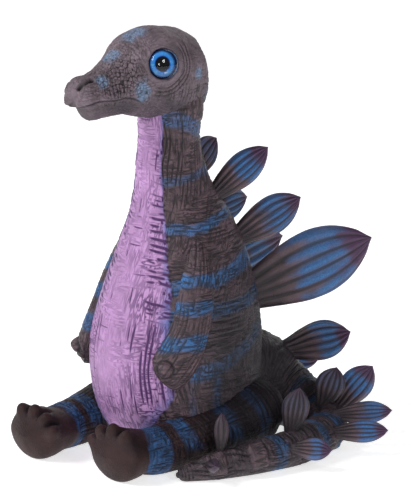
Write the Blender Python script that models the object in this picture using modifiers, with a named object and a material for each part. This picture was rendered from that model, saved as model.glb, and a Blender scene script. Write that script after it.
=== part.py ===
"""A sitting stegosaurus figure: a filled figure of bonded soft castings.

Metres, +Z up. The dinosaur looks along -Y and its left side is +X. The origin is the
centre of the underside, where the base plug closes the body.
"""
import math

import bmesh
import bpy
import numpy as np
from mathutils import Matrix, Vector

NAME = "sitting_stegosaurus"

# Body
BODY_HEIGHT = 0.114
BODY_HALF_WIDTH = 0.0275
BODY_FRONT = 0.0305
BODY_BACK = 0.0295
NECK_RADIUS = 0.0100
NECK_LEAN = 0.0045
BODY_WALL = 0.0025
PLUG_HOLE_RADIUS = 0.0110
SPIGOT_RADIUS = 0.0070
SPIGOT_HEIGHT = 0.0060
GAP = 0.0003

# Head
HEAD_LENGTH = 0.0535
HEAD_HALF_WIDTH = 0.0132
HEAD_HEIGHT = 0.0310
HEAD_WALL = 0.0045
HEAD_BEHIND_NECK = 0.0130
CHIN_DROP = 0.0080

# Eyes
EYE_RADIUS = 0.0047
EYE_SOCKET_DEPTH = 0.0030
EYE_DISC_THICKNESS = 0.0012
EYE_DOME_RISE = 0.0028
EYE_ALONG_HEAD = 0.472
EYE_ROUND_HEAD = math.radians(74.5)
EYE_TURN = math.radians(66.0)
EYE_LIFT = math.radians(8.0)

# Limbs
ARM_WIDTH = 0.0066
ARM_THICKNESS = 0.0045
ARM_PEG_RADIUS = 0.0018
LEG_RADIUS = 0.0088
LEFT_FOOT_REACH = 0.0415
RIGHT_FOOT_REACH = 0.0455
LEFT_FOOT_SPREAD = 0.0160
RIGHT_FOOT_SPREAD = 0.0200
FOOT_HALF_WIDTH = 0.0110
FOOT_HEIGHT = 0.0168
LEG_PEG_RADIUS = 0.0030
HIP_OUT = 0.66
HIP_BACK = 0.45
LEG_BOW = 0.12

# Tail
TAIL_SWING = 0.0435
TAIL_REACH_BACK = 0.0400
TAIL_TIP_FORWARD = 0.0290
TAIL_RADIUS = 0.0070
TAIL_PEG_RADIUS = 0.0040

# Plates
PLATE_THICKNESS = 0.0044
TONGUE_THICKNESS = 0.0020
TAIL_TONGUE_DEPTH = 0.0030
TAIL_ROOT_SHARE = 0.40
TONGUE_WIDTH_SHARE = 0.42
BACK_TONGUE_OUT_SHARE = 0.10
BACK_TONGUE_EXTRA = 0.0008
TAIL_TONGUE_OUT_SHARE = 0.16
UPRIGHT_LIFT = 40.0
UPRIGHT_FACE = -47.0
LEVEL_FACE_LIFT = 30.0
LEG_PEG_SHARE = 0.60
LEG_PEG_ANGLE = math.radians(62.0)
LEG_PEG_REACH_SHARE = 0.45
ARM_PEG_SHARE = 0.50
ARM_PEG_ANGLE = math.radians(65.0)
ARM_PEG_REACH_SHARE = 0.30
TAIL_PEG_ANGLE = math.pi - math.radians(8.0)
PLUG_RIM = 0.0015

# Inside
PLUG_THICKNESS = 0.0025
PLUG_LIP = 0.0016
FILLING_CLEARANCE = 0.0016
BALLAST_BOTTOM = 0.0052
BALLAST_TOP = 0.0200
FIBRE_TOP = 0.1060

BODY_SIDES = 28
HEAD_SIDES = 20
LIMB_SIDES = 14
PLATE_SIDES = 10

# Height share of the body, then shares of the half width, front depth and back depth, and
# of the neck's lean. The rows stop where the neck's own radius takes over.
BODY_ROWS = [
    (0.000, 0.84, 0.46, 0.80, 0.0),
    (0.026, 0.92, 0.61, 0.89, 0.0),
    (0.080, 0.97, 0.79, 0.95, 0.0),
    (0.160, 0.99, 0.935, 0.975, 0.0),
    (0.250, 1.00, 1.00, 0.985, 0.0),
    (0.335, 0.99, 1.00, 1.00, 0.0),
    (0.420, 0.93, 0.92, 0.985, 0.0),
    (0.510, 0.83, 0.80, 0.93, 0.0),
    (0.600, 0.70, 0.68, 0.83, 0.0),
    (0.685, 0.565, 0.555, 0.695, 0.1),
]
# Height share, share of the neck's radius to the side, front and back, share of the lean.
NECK_ROWS = [
    (0.770, 1.24, 1.33, 1.48, 0.45),
    (0.860, 1.06, 1.12, 1.20, 0.78),
    (0.930, 1.00, 1.00, 1.08, 0.9),
    (1.000, 1.00, 0.98, 1.06, 1.0),
    (1.045, 0.98, 0.96, 1.00, 1.0),
]
# Share of the head's length from behind, shares of half width, then the top and the bottom
# as shares of the head's height above the chin line.
HEAD_ROWS = [
    (0.008, 0.42, 0.65, 0.13),
    (0.055, 0.70, 0.81, 0.03),
    (0.160, 0.925, 0.945, 0.00),
    (0.300, 1.00, 1.00, 0.01),
    (0.430, 0.955, 1.015, 0.05),
    (0.540, 0.835, 0.945, 0.10),
    (0.655, 0.65, 0.81, 0.12),
    (0.775, 0.53, 0.66, 0.11),
    (0.880, 0.485, 0.58, 0.105),
    (0.955, 0.41, 0.51, 0.15),
    (0.995, 0.20, 0.43, 0.25),
]
HEAD_WIDEST = 0.52
# Height share of the body, angle round it from the front, share of its radius, then shares
# of the arm's width and thickness.
ARM_ROWS = [
    (0.650, 77.0, 0.72, 0.5, 0.7),
    (0.588, 71.0, 0.86, 0.8, 0.9),
    (0.525, 67.0, 0.89, 0.95, 1.0),
    (0.465, 63.0, 0.915, 1.0, 1.0),
    (0.400, 59.0, 0.935, 1.0, 1.0),
    (0.335, 52.0, 0.965, 1.10, 1.0),
    (0.290, 45.0, 1.02, 1.05, 0.9),
    (0.268, 40.0, 1.05, 0.70, 0.5),
]
# Share of the way from the hip to the foot, then shares of the leg's radius to the side,
# up and down, and the height of the middle as a share of the foot's height.
LEG_ROWS = [
    (-0.18, 0.80, 0.70, 1.00, 0.70),
    (-0.10, 1.45, 1.05, 1.50, 0.80),
    (0.00, 1.78, 1.28, 1.65, 0.85),
    (0.14, 1.80, 1.28, 1.60, 0.82),
    (0.30, 1.56, 1.10, 1.40, 0.72),
    (0.45, 1.27, 0.94, 1.20, 0.62),
    (0.60, 1.05, 0.84, 1.04, 0.54),
    (0.76, 0.92, 0.80, 0.98, 0.50),
]
# Share of the foot's reach from the ankle, shares of its half width and half height.
FOOT_ROWS = [
    (-0.14, 0.93, 0.90),
    (-0.06, 1.00, 1.00),
    (0.05, 0.93, 0.93),
    (0.105, 0.66, 0.66),
]
# Swing to the left as a share of TAIL_SWING, y as a share of the reach behind (+) or of the
# tip's reach forward (-), height of the middle and the radius as shares of TAIL_RADIUS.
TAIL_ROWS = [
    (0.05, 0.49, 3.10, 2.40),
    (0.12, 0.80, 2.85, 2.08),
    (0.32, 0.99, 1.78, 1.50),
    (0.61, 1.01, 1.23, 1.14),
    (0.89, 0.80, 1.00, 1.00),
    (1.00, 0.44, 0.91, 0.91),
    (0.975, 0.02, 0.83, 0.84),
    (0.845, -0.57, 0.63, 0.66),
    (0.695, -1.00, 0.34, 0.29),
]

# Height share, angle round the body from its back, splay and lift of the plate, degrees,
# then its free length and its width.
LEFT_PLATES = [
    (0.750, 27.0, 28.0, 39.0, 0.0225, 0.0115),
    (0.610, 24.0, 29.0, 30.0, 0.0240, 0.0135),
    (0.440, 23.0, 30.0, 21.5, 0.0440, 0.0240),
]
RIGHT_PLATES = [
    (0.800, -18.0, -2.0, 42.0, 0.0150, 0.0120),
    (0.660, -22.0, -3.0, 8.0, 0.0195, 0.0120),
    (0.480, -20.0, -5.0, 9.0, 0.0350, 0.0180),
    (0.330, -26.0, -18.0, 6.0, 0.0300, 0.0190),
]
# Name, place along the tail, turn from its top towards the outside of its curve, heading
# from +X towards +Y and lift, degrees, then free length, width and thickness.
TAIL_PLATES = [
    ("tail_plate_inner_1", 0.175, 0.0, 60.0, 12.0, 0.0215, 0.0140, 0.0044),
    ("tail_plate_outer_1", 0.150, 70.0, 72.0, -14.0, 0.0220, 0.0110, 0.0038),
    ("tail_plate_outer_2", 0.430, 45.0, 47.0, 50.0, 0.0170, 0.0110, 0.0038),
    ("tail_plate_inner_2", 0.450, -6.0, 50.0, 70.0, 0.0125, 0.0100, 0.0036),
    ("tail_plate_outer_3", 0.500, 44.0, 44.0, 6.0, 0.0172, 0.0078, 0.0031),
    ("tail_plate_outer_4", 0.555, 75.0, 42.0, 4.0, 0.0165, 0.0078, 0.0030),
    ("tail_plate_inner_3", 0.675, -5.0, 47.0, 80.0, 0.0140, 0.0090, 0.0036),
    ("tail_plate_outer_5", 0.700, 72.0, 40.0, -2.0, 0.0115, 0.0075, 0.0032),
    ("tail_spike_inner", 0.860, -10.0, 120.0, 84.0, 0.0120, 0.0048, 0.0044),
    ("tail_spike_outer", 0.900, 60.0, -32.0, 14.0, 0.0085, 0.0046, 0.0042),
]

# Share of a plate's length from the skin, share of its width.
LEAF_ROWS = [(-0.30, 0.40), (0.0, 0.58), (0.20, 0.80), (0.42, 0.97), (0.60, 0.97), (0.78, 0.75),
             (0.92, 0.38), (1.0, 0.09)]

BROWN = (0.085, 0.066, 0.072, 1.0)
LILAC = (0.48, 0.28, 0.54, 1.0)
BLUE = (0.045, 0.105, 0.30, 1.0)
SOLE = (0.060, 0.042, 0.046, 1.0)
IRIS = (0.06, 0.30, 0.85, 1.0)
CLEAR = (0.75, 0.85, 0.95, 1.0)
FIBRE = (0.80, 0.79, 0.76, 1.0)
BEADS = (0.55, 0.55, 0.55, 1.0)


def paint(obj, colour, roughness=0.55):
    """Give the object its own material."""
    material = bpy.data.materials.new(obj.name)
    material.use_nodes = True
    shader = material.node_tree.nodes["Principled BSDF"]
    shader.inputs["Base Color"].default_value = colour
    shader.inputs["Roughness"].default_value = roughness
    shader.inputs["Metallic"].default_value = 0.0
    material.diffuse_color = colour
    obj.data.materials.clear()
    obj.data.materials.append(material)


def add_object(name, mesh, collection):
    obj = bpy.data.objects.new(name, mesh)
    collection.objects.link(obj)
    return obj


def as_cutter(obj):
    obj.hide_render = True
    obj.display_type = "WIRE"
    return obj


def through(rows, places):
    """Values on a smooth curve through rows of (place, values...), read at places."""
    rows = np.asarray(rows, float)
    x = rows[:, 0]
    y = rows[:, 1:]
    slope = np.gradient(y, x, axis=0)
    places = np.clip(np.asarray(places, float), x[0], x[-1])
    i = np.clip(np.searchsorted(x, places, side="right") - 1, 0, len(x) - 2)
    span = (x[i + 1] - x[i])[..., None]
    s = (places - x[i])[..., None] / span
    start = (2 * s**3 - 3 * s**2 + 1) * y[i] + (s**3 - 2 * s**2 + s) * slope[i] * span
    end = (3 * s**2 - 2 * s**3) * y[i + 1] + (s**3 - s**2) * slope[i + 1] * span
    return start + end


def loft(name, rings, collection, capped=True):
    """A skin through rings of equal counts of points, with its faces pointing out."""
    mesh = bpy.data.meshes.new(name)
    work = bmesh.new()
    loops = [[work.verts.new(point) for point in ring] for ring in rings]
    count = len(loops[0])
    for low, high in zip(loops, loops[1:]):
        for i in range(count):
            j = (i + 1) % count
            work.faces.new((low[i], low[j], high[j], high[i]))
    if capped:
        work.faces.new(list(reversed(loops[0])))
        work.faces.new(loops[-1])
        bmesh.ops.recalc_face_normals(work, faces=work.faces[:])
    work.to_mesh(mesh)
    work.free()
    mesh.shade_smooth()
    return add_object(name, mesh, collection)


def boolean(obj, other, operation="DIFFERENCE"):
    modifier = obj.modifiers.new(other.name, "BOOLEAN")
    modifier.operation = operation
    modifier.solver = "EXACT"
    modifier.use_self = True
    modifier.object = other


def body_stations():
    """Rows of height, centre y, half width, front depth and back depth, in metres."""
    rows = []
    for height, side, front, back, lean in BODY_ROWS:
        size = (side * BODY_HALF_WIDTH, front * BODY_FRONT, back * BODY_BACK)
        rows.append((height * BODY_HEIGHT, -lean * NECK_LEAN) + size)
    for height, side, front, back, lean in NECK_ROWS:
        size = (side * NECK_RADIUS, front * NECK_RADIUS, back * NECK_RADIUS)
        rows.append((height * BODY_HEIGHT, -lean * NECK_LEAN) + size)
    return rows


BODY_STATIONS = body_stations()
NECK_TOP = BODY_STATIONS[-1][0]


def body_ring(height, grow=0.0, radius=None):
    """The body's outline at one height, grown outwards, or a round one of a radius."""
    centre, side, front, back = through(BODY_STATIONS, [height])[0]
    if radius is not None:
        side = front = back = radius
    points = []
    for i in range(BODY_SIDES):
        angle = 2 * math.pi * i / BODY_SIDES
        depth = front if math.cos(angle) > 0 else back
        x = (side + grow) * math.sin(angle)
        points.append((x, centre - (depth + grow) * math.cos(angle), height))
    return points


def body_point(height, angle, share=1.0):
    """A point at an angle round the body from the front, at a share of its radius."""
    centre, side, front, back = through(BODY_STATIONS, [height])[0]
    depth = front if math.cos(angle) > 0 else back
    return Vector((share * side * math.sin(angle), centre - share * depth * math.cos(angle), height))


def body_normal(height, angle):
    """The level direction out of the body's skin."""
    centre, side, front, back = through(BODY_STATIONS, [height])[0]
    depth = front if math.cos(angle) > 0 else back
    return Vector((math.sin(angle) / side, -math.cos(angle) / depth, 0.0)).normalized()


def round_ring(radius, height):
    return [(radius * math.sin(2 * math.pi * i / BODY_SIDES),
             -radius * math.cos(2 * math.pi * i / BODY_SIDES), height) for i in range(BODY_SIDES)]


def raised(ring, height):
    return [(x, y, height) for x, y, _ in ring]


def torso_shell(collection):
    """The body and neck: an open skin from the plug hole to the spigot, made solid inwards."""
    rings = [round_ring(PLUG_HOLE_RADIUS, 0.0)]
    rings += [body_ring(row[0]) for row in BODY_STATIONS]
    rings.append(body_ring(NECK_TOP, radius=SPIGOT_RADIUS))
    rings.append(raised(rings[-1], NECK_TOP + SPIGOT_HEIGHT))
    obj = loft("torso_shell", rings, collection, capped=False)
    solid = obj.modifiers.new("wall", "SOLIDIFY")
    solid.thickness = BODY_WALL
    solid.offset = -1.0
    solid.use_even_offset = True
    paint(obj, LILAC)
    return obj


def body_keepout(cutters):
    """The body's outside grown by the gap, carried on below the ground."""
    rings = [raised(body_ring(0.0, GAP), -BODY_WALL)]
    rings += [body_ring(row[0], GAP) for row in BODY_STATIONS]
    rings[-1] = raised(rings[-1], NECK_TOP + GAP)
    neck = body_ring(NECK_TOP, radius=SPIGOT_RADIUS + GAP)
    rings += [raised(neck, NECK_TOP + GAP), raised(neck, NECK_TOP + SPIGOT_HEIGHT + 2 * GAP)]
    return as_cutter(loft("body_keepout", rings, cutters))


def head_ring(share, inset=0.0):
    """One section across the head, drawn in by the wall for the hollow."""
    half_width, top, bottom = through(HEAD_ROWS, [share])[0]
    base = NECK_TOP - CHIN_DROP
    y = HEAD_BEHIND_NECK - NECK_LEAN - share * HEAD_LENGTH
    low = base + bottom * HEAD_HEIGHT
    high = base + top * HEAD_HEIGHT
    middle = low + HEAD_WIDEST * (high - low)
    half_width = half_width * HEAD_HALF_WIDTH
    points = []
    for i in range(HEAD_SIDES):
        angle = 2 * math.pi * i / HEAD_SIDES
        reach = (high - middle if math.cos(angle) > 0 else middle - low) - inset
        points.append(((half_width - inset) * math.sin(angle), y, middle + reach * math.cos(angle)))
    return points


def eye_place(side):
    """Centre of the eye on the head's skin, and the direction that the eye looks."""
    half_width, top, bottom = through(HEAD_ROWS, [EYE_ALONG_HEAD])[0]
    base = NECK_TOP - CHIN_DROP
    low = base + bottom * HEAD_HEIGHT
    high = base + top * HEAD_HEIGHT
    middle = low + HEAD_WIDEST * (high - low)
    centre = Vector((
        side * half_width * HEAD_HALF_WIDTH * math.sin(EYE_ROUND_HEAD),
        HEAD_BEHIND_NECK - NECK_LEAN - EYE_ALONG_HEAD * HEAD_LENGTH,
        middle + (high - middle) * math.cos(EYE_ROUND_HEAD)))
    looks = Vector((
        side * math.sin(EYE_TURN) * math.cos(EYE_LIFT),
        -math.cos(EYE_TURN) * math.cos(EYE_LIFT),
        math.sin(EYE_LIFT)))
    return centre, looks


def along(centre, direction):
    """A matrix that puts +Z along the direction at the centre."""
    return Matrix.Translation(centre) @ direction.to_track_quat("Z", "Y").to_matrix().to_4x4()


def cylinder(name, radius, start, end, place, collection, sides=24):
    """A closed cylinder on the place's Z axis from start to end."""
    mesh = bpy.data.meshes.new(name)
    work = bmesh.new()
    middle = Matrix.Translation((0, 0, (start + end) / 2))
    bmesh.ops.create_cone(work, cap_ends=True, segments=sides, radius1=radius, radius2=radius,
                          depth=end - start, matrix=place @ middle)
    work.to_mesh(mesh)
    work.free()
    return add_object(name, mesh, collection)


def head_shell(collection, cutters, keepout):
    """The head: closed outer skin, hollow, with the neck's seat and two eye sockets."""
    shares = [row[0] for row in HEAD_ROWS]
    obj = loft("head_shell", [head_ring(share) for share in shares], collection)
    inner = [head_ring(share, HEAD_WALL) for share in shares[2:7]]
    boolean(obj, as_cutter(loft("head_hollow", inner, cutters)))
    boolean(obj, keepout)
    for side, word in ((1, "left"), (-1, "right")):
        centre, looks = eye_place(side)
        place = along(centre, looks)
        socket = cylinder(word + "_socket", EYE_RADIUS + GAP, -EYE_SOCKET_DEPTH,
                          EYE_SOCKET_DEPTH * 3, place, cutters)
        boolean(obj, as_cutter(socket))
    paint(obj, BROWN)


def turned(name, profile, place, collection, sides):
    """A profile of (radius, height) from the top axis point down, turned about Z."""
    mesh = bpy.data.meshes.new(name)
    work = bmesh.new()
    points = [work.verts.new((radius, 0.0, height)) for radius, height in profile]
    for a, b in zip(points, points[1:]):
        work.edges.new((a, b))
    work.to_mesh(mesh)
    work.free()
    obj = add_object(name, mesh, collection)
    obj.matrix_world = place
    screw = obj.modifiers.new("turn", "SCREW")
    screw.axis = "Z"
    screw.angle = 2 * math.pi
    screw.steps = sides
    screw.render_steps = sides
    screw.use_merge_vertices = True
    screw.merge_threshold = 0.00001
    mesh.shade_smooth()
    return obj


def eyes(collection):
    """Each eye is a painted disc at the back of the socket under a clear dome."""
    for side, word in ((1, "left"), (-1, "right")):
        centre, looks = eye_place(side)
        place = along(centre, looks)
        back = -EYE_SOCKET_DEPTH + GAP
        front = back + EYE_DISC_THICKNESS
        disc = turned(word + "_eye_disc",
                      [(0.0, front), (EYE_RADIUS, front), (EYE_RADIUS, back), (0.0, back)],
                      place, collection, 24)
        paint(disc, IRIS, 0.3)
        base = front + GAP
        edge = 0.0004
        rise = EYE_DOME_RISE - edge
        steps = [math.pi / 2 * i / 5 for i in range(6)]
        arc = [(EYE_RADIUS * math.sin(a), edge + rise * math.cos(a)) for a in steps]
        dome = turned(word + "_eye_dome", arc + [(EYE_RADIUS, base), (0.0, base)],
                      place, collection, 24)
        paint(dome, CLEAR, 0.05)


def swept(path, sides, floor=0.0):
    """Rings round a path of (centre, side radius, up radius, down radius) rows."""
    centres = np.array([row[0] for row in path])
    heading = np.gradient(centres, axis=0)
    rings = []
    for (centre, across, up, down), ahead in zip(path, heading):
        ahead = Vector(ahead).normalized()
        right = ahead.cross(Vector((0, 0, 1))).normalized()
        above = right.cross(ahead)
        ring = []
        for i in range(sides):
            angle = 2 * math.pi * (i + 0.5) / sides
            tall = up if math.sin(angle) > 0 else down
            point = Vector(centre) + right * across * math.cos(angle) + above * tall * math.sin(angle)
            point.z = max(point.z, floor)
            ring.append(point)
        rings.append(ring)
    return rings


def peg(name, height, angle, radius, outside, cutters, body_cuts):
    """A peg square to the body's skin, and the hole for it in the wall."""
    place = along(body_point(height, angle), body_normal(height, angle))
    body_cuts.append(cylinder(name + "_hole", radius + GAP, -2 * BODY_WALL, outside, place, cutters, 12))
    return as_cutter(cylinder(name, radius, -BODY_WALL, outside, place, cutters, 12))


def leg_path(side, spread, reach):
    """From inside the hip out over the ground to the sole of the foot."""
    hip = Vector((side * HIP_OUT * BODY_HALF_WIDTH, HIP_BACK * BODY_BACK, 0.0))
    ankle = Vector((side * spread, -reach, 0.0))
    bow = Vector((side * LEG_BOW * BODY_HALF_WIDTH, 0.0, 0.0))
    rows = []
    for way, across, up, down, lift in LEG_ROWS:
        centre = hip.lerp(ankle, way) + bow * math.sin(math.pi * way)
        centre.z = lift * FOOT_HEIGHT
        rows.append((centre, across * LEG_RADIUS, up * LEG_RADIUS, down * LEG_RADIUS))
    for way, across, tall in FOOT_ROWS:
        centre = ankle + Vector((0, -way * reach, FOOT_HEIGHT / 2))
        half = tall * FOOT_HEIGHT / 2
        rows.append((centre, across * FOOT_HALF_WIDTH, half, half))
    return rows


LEFT_LEG = leg_path(1, LEFT_FOOT_SPREAD, LEFT_FOOT_REACH)
RIGHT_LEG = leg_path(-1, RIGHT_FOOT_SPREAD, RIGHT_FOOT_REACH)


def limb(name, rings, keepout, stud, collection, colour=BROWN):
    obj = loft(name, rings, collection)
    boolean(obj, keepout)
    boolean(obj, stud, "UNION")
    paint(obj, colour)
    return obj


def legs(collection, cutters, keepout, body_cuts, room):
    """Legs with round haunches, cut clear of the tail that lies over and beside them."""
    for side, word, path in ((1, "left", LEFT_LEG), (-1, "right", RIGHT_LEG)):
        stud = peg(word + "_leg_peg", LEG_PEG_SHARE * FOOT_HEIGHT, side * LEG_PEG_ANGLE, LEG_PEG_RADIUS,
                   LEG_PEG_REACH_SHARE * LEG_RADIUS, cutters, body_cuts)
        leg = limb(word + "_leg", swept(path, LIMB_SIDES), keepout, stud, collection)
        boolean(leg, room)


def arms(collection, cutters, keepout, body_cuts):
    """Flat arms that lie against the belly from the shoulder to the hand."""
    for side, word in ((1, "left"), (-1, "right")):
        rings = []
        rows = [(height * BODY_HEIGHT, side * math.radians(angle), share, wide, thick)
                for height, angle, share, wide, thick in ARM_ROWS]
        centres = np.array([body_point(*row[:3]) for row in rows])
        heading = np.gradient(centres, axis=0)
        for (height, angle, share, wide, thick), centre, ahead in zip(rows, centres, heading):
            ahead = Vector(ahead).normalized()
            out = body_normal(height, angle)
            across = ahead.cross(out).normalized()
            out = across.cross(ahead)
            turn = [2 * math.pi * (i + 0.5) / LIMB_SIDES for i in range(LIMB_SIDES)]
            rings.append([Vector(centre) + across * wide * ARM_WIDTH * math.cos(t)
                          + out * thick * ARM_THICKNESS * math.sin(t) for t in turn])
        stud = peg(word + "_arm_peg", ARM_PEG_SHARE * BODY_HEIGHT, side * ARM_PEG_ANGLE, ARM_PEG_RADIUS,
                   ARM_PEG_REACH_SHARE * ARM_THICKNESS, cutters, body_cuts)
        limb(word + "_arm", rings, keepout, stud, collection)


def tail_stations():
    """Rows of place along the tail, x, y, z and radius."""
    last = len(TAIL_ROWS) - 1
    rows = []
    for i, (swing, reach, lift, thick) in enumerate(TAIL_ROWS):
        y = reach * (TAIL_REACH_BACK if reach > 0 else TAIL_TIP_FORWARD)
        rows.append((i / last, swing * TAIL_SWING, y, lift * TAIL_RADIUS, thick * TAIL_RADIUS))
    return rows


TAIL_STATIONS = tail_stations()
TAIL_STEPS = 22


def tail_rings(grow=0.0):
    places = [i / TAIL_STEPS for i in range(TAIL_STEPS + 1)]
    path = []
    for x, y, z, radius in through(TAIL_STATIONS, places):
        path.append(((x, y, z), radius + grow, 0.96 * radius + grow, max(radius, z) + grow))
    return swept(path, LIMB_SIDES, -4 * grow)


def tail_room(cutters):
    """The tail and a gap round it, as closed hulls that each wrap three neighbouring rings."""
    rings = tail_rings(GAP)
    mesh = bpy.data.meshes.new("tail_room")
    work = bmesh.new()
    for first, second, third in zip(rings, rings[1:], rings[2:]):
        corners = [work.verts.new(point) for point in list(first) + list(second) + list(third)]
        hull = bmesh.ops.convex_hull(work, input=corners)
        spare = [item for item in hull["geom_interior"] + hull["geom_unused"]
                 if isinstance(item, bmesh.types.BMVert)]
        bmesh.ops.delete(work, geom=list(set(spare)), context="VERTS")
    bmesh.ops.recalc_face_normals(work, faces=work.faces)
    work.to_mesh(mesh)
    work.free()
    return as_cutter(add_object("tail_room", mesh, cutters))


def leaf_rings(base, ahead, face, length, width, thickness):
    """Lens sections that widen from the base and narrow to the tip."""
    across = ahead.cross(face).normalized()
    face = across.cross(ahead)
    rings = []
    for way, wide in LEAF_ROWS:
        half = 0.5 * wide * width
        deep = 0.5 * thickness * (0.35 + 0.65 * wide) * (1.15 - 0.45 * max(way, 0.0))
        ring = []
        for i in range(PLATE_SIDES):
            angle = 2 * math.pi * i / PLATE_SIDES
            flat = math.copysign(abs(math.sin(angle)) ** 1.2, math.sin(angle))
            ring.append(base + ahead * way * length + across * half * math.cos(angle)
                        + face * deep * flat)
        rings.append(ring)
    return rings


def tongue(name, base, ahead, face, width, out, depth, cutters, cuts):
    """A flat tongue under the plate, and the slot for it."""
    across = ahead.cross(face).normalized()
    face = across.cross(ahead)
    turn = Matrix((face, across, ahead)).transposed().to_4x4()
    for grow, label in ((0.0, "_tongue"), (GAP, "_slot")):
        size = (TONGUE_THICKNESS + 2 * grow, width + 2 * grow, out + depth + grow)
        middle = base + ahead * (out - depth - grow) / 2
        mesh = bpy.data.meshes.new(name + label)
        work = bmesh.new()
        matrix = Matrix.Translation(middle) @ turn @ Matrix.Diagonal((*size, 1.0))
        bmesh.ops.create_cube(work, size=1.0, matrix=matrix)
        work.to_mesh(mesh)
        work.free()
        piece = as_cutter(add_object(name + label, mesh, cutters))
        if grow:
            cuts.append(piece)
        else:
            stud = piece
    return stud


def heading_vector(heading, lift):
    """The direction at a heading from +X towards +Y, raised by the lift, in degrees."""
    heading = math.radians(heading)
    lift = math.radians(lift)
    level = math.cos(lift)
    return Vector((math.cos(heading) * level, math.sin(heading) * level, math.sin(lift)))


def back_plates(collection, cutters, keepout, body_cuts, room):
    """Plates down the back; the lowest are also cut clear of the tail's root."""
    for side, rows in (("left", LEFT_PLATES), ("right", RIGHT_PLATES)):
        for number, (height, around, splay, lift, length, width) in enumerate(rows, 1):
            name = "back_plate_%s_%d" % (side, number)
            base = body_point(height * BODY_HEIGHT, math.pi - math.radians(around))
            ahead = heading_vector(90.0 - splay, lift)
            face = heading_vector(-splay, 0.0)
            rings = leaf_rings(base, ahead, face, length, width, PLATE_THICKNESS)
            stud = tongue(name, base, ahead, face, TONGUE_WIDTH_SHARE * width,
                          BACK_TONGUE_OUT_SHARE * length + BACK_TONGUE_EXTRA, BODY_WALL,
                          cutters, body_cuts)
            leaf = limb(name, rings, keepout, stud, collection, BLUE)
            if height < TAIL_ROOT_SHARE:
                boolean(leaf, room)


def tail_core(collection, cutters, keepout, body_cuts):
    """The tail, cut clear of the body and pegged to it."""
    tail = loft("tail", tail_rings(), collection)
    boolean(tail, keepout)
    stud = peg("tail_peg", TAIL_ROWS[1][2] * TAIL_RADIUS, TAIL_PEG_ANGLE,
               TAIL_PEG_RADIUS, TAIL_RADIUS, cutters, body_cuts)
    boolean(tail, stud, "UNION")
    paint(tail, BROWN)
    return tail


def tail_plates(tail, collection, cutters, keepout, tail_keepout):
    slots = []
    for name, place, turn, heading, lift, length, width, thickness in TAIL_PLATES:
        x, y, z, radius = through(TAIL_STATIONS, [place])[0]
        before, after = through(TAIL_STATIONS, [place - 0.01, place + 0.01])
        run = Vector(after[:3] - before[:3]).normalized()
        outward = Vector((0, 0, 1)).cross(run).normalized()
        above = run.cross(outward)
        turn = math.radians(turn)
        off = above * math.cos(turn) + outward * math.sin(turn)
        base = Vector((x, y, z)) + off * float(radius)
        ahead = heading_vector(heading, lift)
        if abs(lift) > UPRIGHT_LIFT:
            face = heading_vector(UPRIGHT_FACE, 0.0)
        else:
            face = heading_vector(heading - 90.0, LEVEL_FACE_LIFT)
        rings = leaf_rings(base, ahead, face, length, width, thickness)
        stud = tongue(name, base, ahead, face, TONGUE_WIDTH_SHARE * width,
                      TAIL_TONGUE_OUT_SHARE * length, TAIL_TONGUE_DEPTH, cutters, slots)
        leaf = limb(name, rings, tail_keepout, stud, collection, BLUE)
        if place < 0.25:
            boolean(leaf, keepout)
    for slot in slots:
        boolean(tail, slot)


def fillings(collection):
    """The base plug, the bead ballast over it and the fibre above that."""
    lip = PLUG_THICKNESS + GAP
    wide = PLUG_HOLE_RADIUS + PLUG_RIM
    fits = PLUG_HOLE_RADIUS - GAP
    plug = turned("base_plug",
                  [(0.0, lip + PLUG_LIP), (wide, lip + PLUG_LIP), (wide, lip), (fits, lip),
                   (fits, 0.0), (0.0, 0.0)], Matrix.Identity(4), collection, 28)
    paint(plug, SOLE, 0.7)
    inset = -(BODY_WALL + FILLING_CLEARANCE)
    levels = [row[0] for row in BODY_STATIONS]
    for name, low, high, colour in (("bead_ballast", BALLAST_BOTTOM, BALLAST_TOP, BEADS),
                                    ("fibre_filling", BALLAST_TOP + GAP, FIBRE_TOP, FIBRE)):
        between = [level for level in levels if low + 0.002 < level < high - 0.002]
        rings = [body_ring(level, inset) for level in [low] + between + [high]]
        paint(loft(name, rings, collection), colour, 0.9)


def main():
    for obj in list(bpy.data.objects):
        bpy.data.objects.remove(obj, do_unlink=True)
    parts = bpy.data.collections.new(NAME)
    cutters = bpy.data.collections.new("cutters")
    bpy.context.scene.collection.children.link(parts)
    bpy.context.scene.collection.children.link(cutters)
    body_cuts = []
    torso = torso_shell(parts)
    keepout = body_keepout(cutters)
    head_shell(parts, cutters, keepout)
    eyes(parts)
    tail_keepout = as_cutter(loft("tail_keepout", tail_rings(GAP), cutters))
    room = tail_room(cutters)
    legs(parts, cutters, keepout, body_cuts, room)
    arms(parts, cutters, keepout, body_cuts)
    tail = tail_core(parts, cutters, keepout, body_cuts)
    tail_plates(tail, parts, cutters, keepout, tail_keepout)
    back_plates(parts, cutters, keepout, body_cuts, room)
    fillings(parts)
    for cut in body_cuts:
        boolean(torso, as_cutter(cut))


main()
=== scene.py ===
import math

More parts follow.
